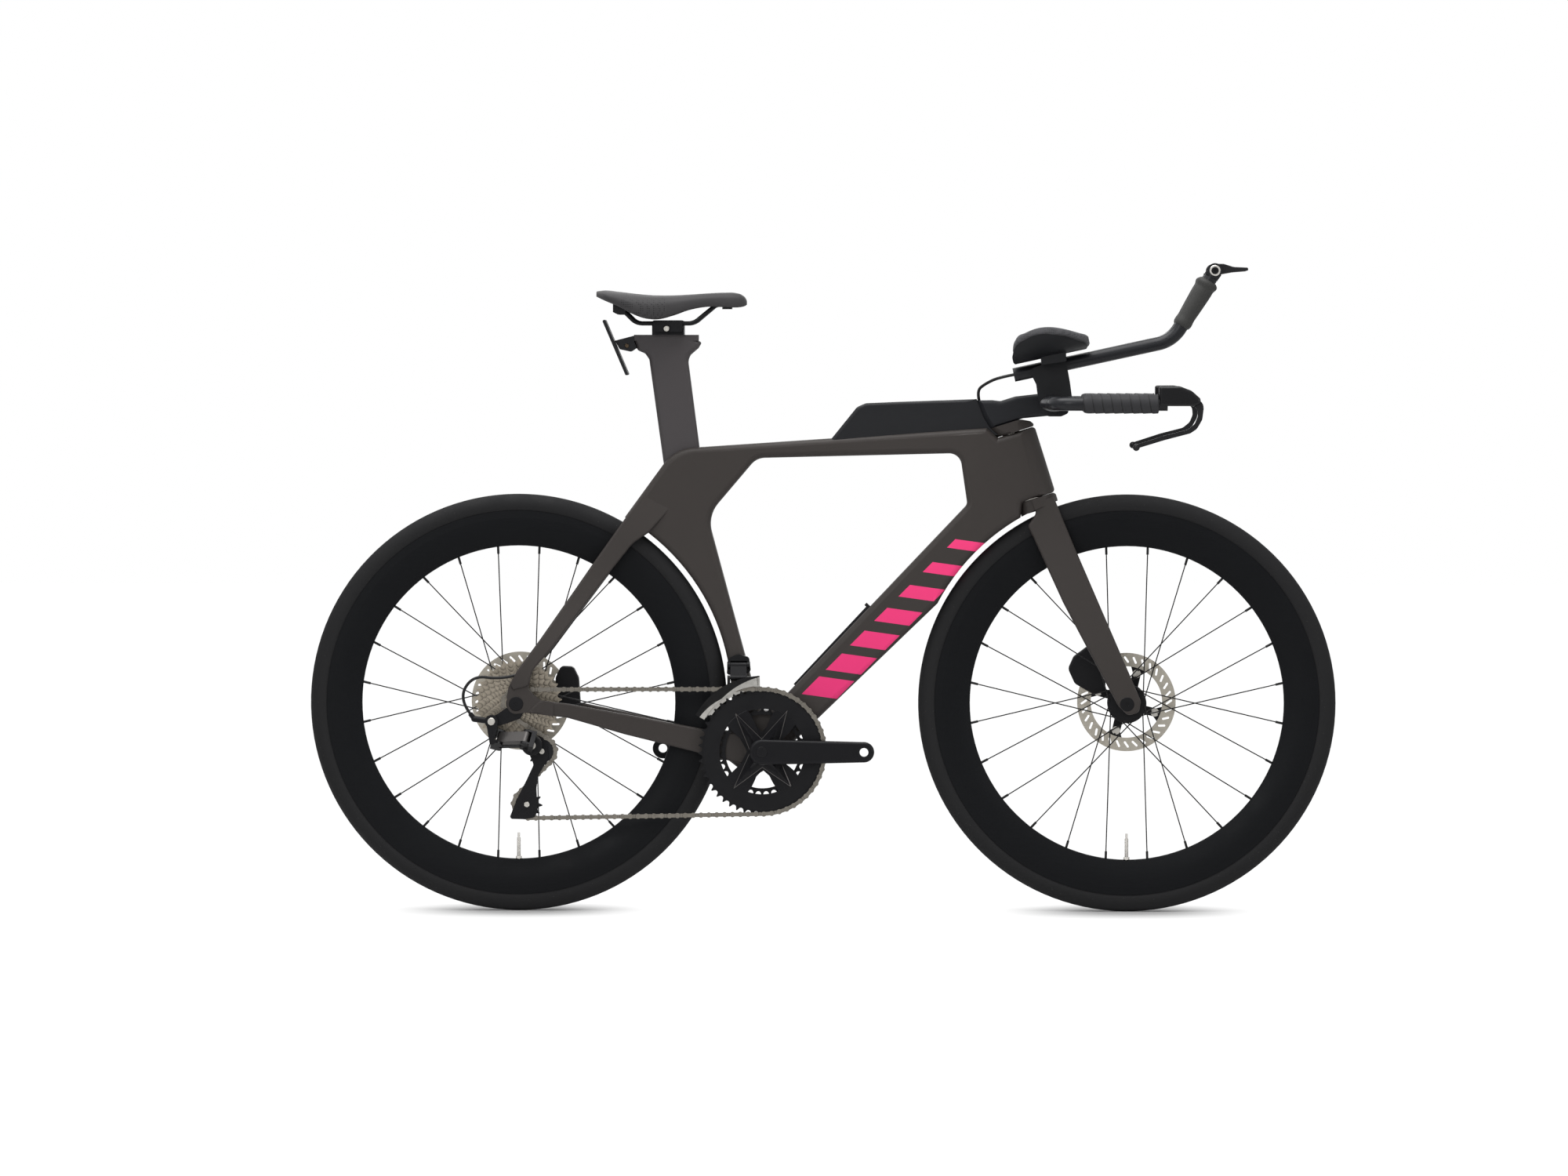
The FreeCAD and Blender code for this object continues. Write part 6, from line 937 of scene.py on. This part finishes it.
class BIKE_OT_grips(Operator):
    """Grip sleeves: ribbed silicone on the upright ends of the extensions"""

    bl_idname = "bike.grips"
    bl_label = "Grips"

    def execute(self, context):
        grid = self.rings(context.scene.bike_sizes.grip_rib)
        for name, rings in (("grip_left", grid), ("grip_right", mirrored(grid))):
            grip = skin(name, [rings], "steering", "grip", 50.0)
            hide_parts("extension_grips")
        return {"FINISHED"}

    def rings(self, rib):
        """Ellipses along the left extension's upright end: wide * cos(t) in side view and deep * sin(t) across it.

        Shallow ribs, rib_high * cos(2 pi * run / rib), fade out at the two collars.
        """
        knee = BAR + np.array((191.3, 0, 101.5)) * MM
        tip = BAR + np.array((253, 0, 203)) * MM
        # Share of the way from knee to tip, and half the sleeve's two widths there
        table = [
            (0.23, 11.9, 11.8),
            (0.24, 12.6, 12.4),
            (0.38, 13.4, 13.0),
            (0.6, 14.8, 13.8),
            (0.82, 15.5, 14.2),
            (0.94, 14.4, 13.6),
            (0.95, 12.6, 12.3),
        ]
        rib_high, rib_start, rib_end, rib_fade = 0.05, 0.27, 0.92, 0.03
        run = np.linalg.norm(tip - knee)
        way = (tip - knee) / run
        side = np.array((way[2], 0, -way[0]))
        across = np.array((0, 1.0, 0))
        shares = np.linspace(table[0][0], table[-1][0], 200)
        wide, deep = smooth_table(table, shares).T
        fade = np.clip(np.minimum(shares - rib_start, rib_end - shares) / rib_fade, 0, 1)
        ribs = rib_high * fade * np.cos(2 * math.pi * shares * run / rib)
        turn = full_turn(64)
        a = ((wide + ribs)[:, None] * np.cos(turn))[..., None] * side
        b = ((deep + ribs)[:, None] * np.sin(turn))[..., None] * across
        middle = knee + (shares * run)[:, None] * way + EXTENSION_OUT * across
        return middle[:, None, :] + (a + b) * MM


class BIKE_OT_screws(Operator):
    """Screw heads with hexagon sockets, and the shifters' bright rings"""

    bl_idname = "bike.screws"
    bl_label = "Screws"

    def execute(self, context):
        right, left = (0, -1, 0), (0, 1, 0)
        # The shifters' pivots in side view, and the outer faces of their rings and caps
        pivot_x, pivot_z, ring_face, cap_face = 633.108, 1037.557, 66, 66.6
        ring, cap = (8.8, 1.1, 5.6), (5.9, 1.8, 2.0)
        axle_cap, pulley_screw = (11.5, 1.4, 3.0), (4.4, 1.4, 1.6)
        # By body and finish: place, the way it faces, radius, height and half width of the hexagon
        groups = {
            ("frame", "bolt"): [
                ((-532.4, -90, 309.9), right, 6.0, 1.6, 2.5),
                ((-252.0, -34, 943.8), right, 4.6, 1.6, 2.0),
            ],
            ("frame", "bronze"): [((-317.0, -13, 916.0), right, 3.6, 2.0, 1.6)],
            ("frame", "anodised"): [((-493.0, -79, 338.0), right, *axle_cap)],
            ("steering", "anodised"): [
                ((493.0, -59, 338.0), right, *axle_cap),
                ((pivot_x, -cap_face, pivot_z), right, *cap),
                ((pivot_x, cap_face, pivot_z), left, *cap),
            ],
            ("steering", "bright"): [
                ((pivot_x, -ring_face, pivot_z), right, *ring),
                ((pivot_x, ring_face, pivot_z), left, *ring),
            ],
            ("rd_knuckle", "bolt"): [((-467.2, -91.9, 271.5), right, 6.5, 1.2, 2.5)],
            ("rd_cage", "bolt"): [
                ((-452.13, -67.5, 260.81), right, *pulley_screw),
                ((-476.29, -67.5, 174.94), right, *pulley_screw),
            ],
            ("crankset", "anodised"): [((-96.5, -73, 260.3), right, 9.0, 0.8, 4.0)],
        }
        for (body, finish), screws in groups.items():
            skin("screws_" + body + "_" + finish, [self.head(*s) for s in screws], body, finish, 25.0)
        return {"FINISHED"}

    def head(self, at, way, radius, height, key):
        """Rings from the foot up the side and over the bevel, then down into a socket.

        The socket is a hexagon of half width key: its radius is key / cos(t mod 60 - 30) in degrees.
        """
        foot, socket_floor = -0.3, 0.3 * height
        bevel = min(0.6, height / 2)
        turn = full_turn(36)
        hexagon = key / np.cos(turn % (math.pi / 3) - math.pi / 6)
        flat = np.ones_like(turn)
        reach = np.stack([radius * flat, radius * flat, (radius - bevel) * flat, hexagon, hexagon])
        rise = np.array((foot, height - bevel, height, height, socket_floor))
        way = np.array(way, float)
        side = np.cross(way, (0.0, 0.0, 1.0))
        side = side / np.linalg.norm(side)
        over = np.cross(way, side)
        round_it = reach[..., None] * (np.cos(turn)[:, None] * side + np.sin(turn)[:, None] * over)
        return (np.array(at) + round_it + (rise[:, None] * way)[:, None, :]) * MM


class BIKE_OT_spider_cover(Operator):
    """Faceted four-pointed cover on the right crank, with a painted highlight round its foot, over a lobed plate that
    closes the ring's corners
    """

    bl_idname = "bike.spider_cover"
    bl_label = "Spider cover"

    def execute(self, context):
        turn = np.radians(np.arange(-180.0, 180.0, 1.5))
        # Rings from the plate outward: share of the outline, and distance from the bike's middle plane
        cover = [(0.95, -51.0), (0.95, -52.9), (0.82, -55.5), (0.6, -60.0), (0.4, -66.0), (0.27, -70.5)]
        # The bevel round the cover's foot is drawn pale grey: a painted highlight along the star's edge
        bevel = [(1, -51.0), (1, -52.2), (0.948, -52.9)]
        plate = [(1, -50.02), (1, -50.8), (0.99, -51.0), (0.5, -51.0)]
        star = self.star(turn)
        raised = self.stack(turn, star, cover)
        edge = self.stack(turn, star, bevel)
        lobes = self.stack(turn, self.lobes(turn), plate)
        skin("spider_cover", [raised, lobes], "crankset", "gloss", 12.0)
        skin("spider_painted_highlight", [edge], "crankset", "grey", 12.0)
        return {"FINISHED"}

    def star(self, turn):
        """Radius of a pointed star by angle. Between a point and a notch its edge is a straight line, in polar form:
        p * q * sin(b - a) / (p * sin(t - a) + q * sin(b - t)) runs from radius p at angle a to radius q at angle b.
        """
        corners = np.radians((-180, -127.7, -89, -50.3, 0, 58.5, 92, 125, 180))
        reach = np.array((19.4, 77, 26, 76, 24, 79, 21, 79, 19.4))
        i = np.clip(np.searchsorted(corners, turn, side="right") - 1, 0, len(corners) - 2)
        a, b = corners[i], corners[i + 1]
        p, q = reach[i], reach[i + 1]
        return p * q * np.sin(b - a) / (p * np.sin(turn - a) + q * np.sin(b - turn))

    def lobes(self, turn):
        """Radius of the plate behind the star by angle: full round each arm, easing to a small round between arms."""
        arms = np.radians((56, 126, -126, -50))
        small, more = 24, 47
        half_lobe, ease_over = math.radians(29), math.radians(14)
        off = np.abs((turn[:, None] - arms + math.pi) % (2 * math.pi) - math.pi).min(axis=1)
        ease = np.clip((half_lobe - off) / ease_over, 0, 1)
        return small + more * ease * ease * (3 - 2 * ease)

    def stack(self, turn, outline, rings):
        """Rings of one outline, each drawn in to a share of it and set at its own distance from the bike's middle."""
        shares, faces = np.array(rings).T
        reach = outline * shares[:, None]
        depth = np.broadcast_to(faces[:, None], reach.shape)
        return np.stack([reach * np.cos(turn), depth, reach * np.sin(turn)], axis=-1) * MM + BB


class BIKE_PT_sidebar(Panel):
    """Lists the steps that dress the bike"""

    bl_idname = "BIKE_PT_sidebar"
    bl_label = "Time trial bike"
    bl_space_type = "VIEW_3D"
    bl_region_type = "UI"
    bl_category = "Bike"

    def draw(self, context):
        column = self.layout.column()
        for step in STEPS:
            column.operator(step.bl_idname)
        for group in (context.scene.bike_colours, context.scene.bike_sizes):
            for key in group.__annotations__:
                column.prop(group, key)


STEPS = (
    BIKE_OT_stage,
    BIKE_OT_cables,
    BIKE_OT_frame_finish,
    BIKE_OT_cockpit_finish,
    BIKE_OT_wheel_finish,
    BIKE_OT_drive_finish,
    BIKE_OT_saddle,
    BIKE_OT_arm_pads,
    BIKE_OT_bar_tape,
    BIKE_OT_grips,
    BIKE_OT_screws,
    BIKE_OT_spider_cover,
)
CLASSES = (BikeColours, BikeSizes, *STEPS, BIKE_PT_sidebar)


def register():
    """Adds the classes and their properties to Blender."""
    for each in CLASSES:
        bpy.utils.register_class(each)
    bpy.types.Scene.bike_colours = PointerProperty(type=BikeColours)
    bpy.types.Scene.bike_sizes = PointerProperty(type=BikeSizes)


def unregister():
    """Takes them away again."""
    del bpy.types.Scene.bike_sizes
    del bpy.types.Scene.bike_colours
    for each in reversed(CLASSES):
        bpy.utils.unregister_class(each)


def main():
    """Dresses the bike step by step."""
    register()
    scene = bpy.context.scene
    laminate_finishes(scene.bike_colours)
    soft_finishes(scene.bike_colours, scene.bike_sizes)
    metal_finishes(scene.bike_colours)
    plain_finishes()
    for step in STEPS:
        name = step.bl_idname.split(".")[1]
        getattr(bpy.ops.bike, name)()


if __name__ == "__main__":
    main()
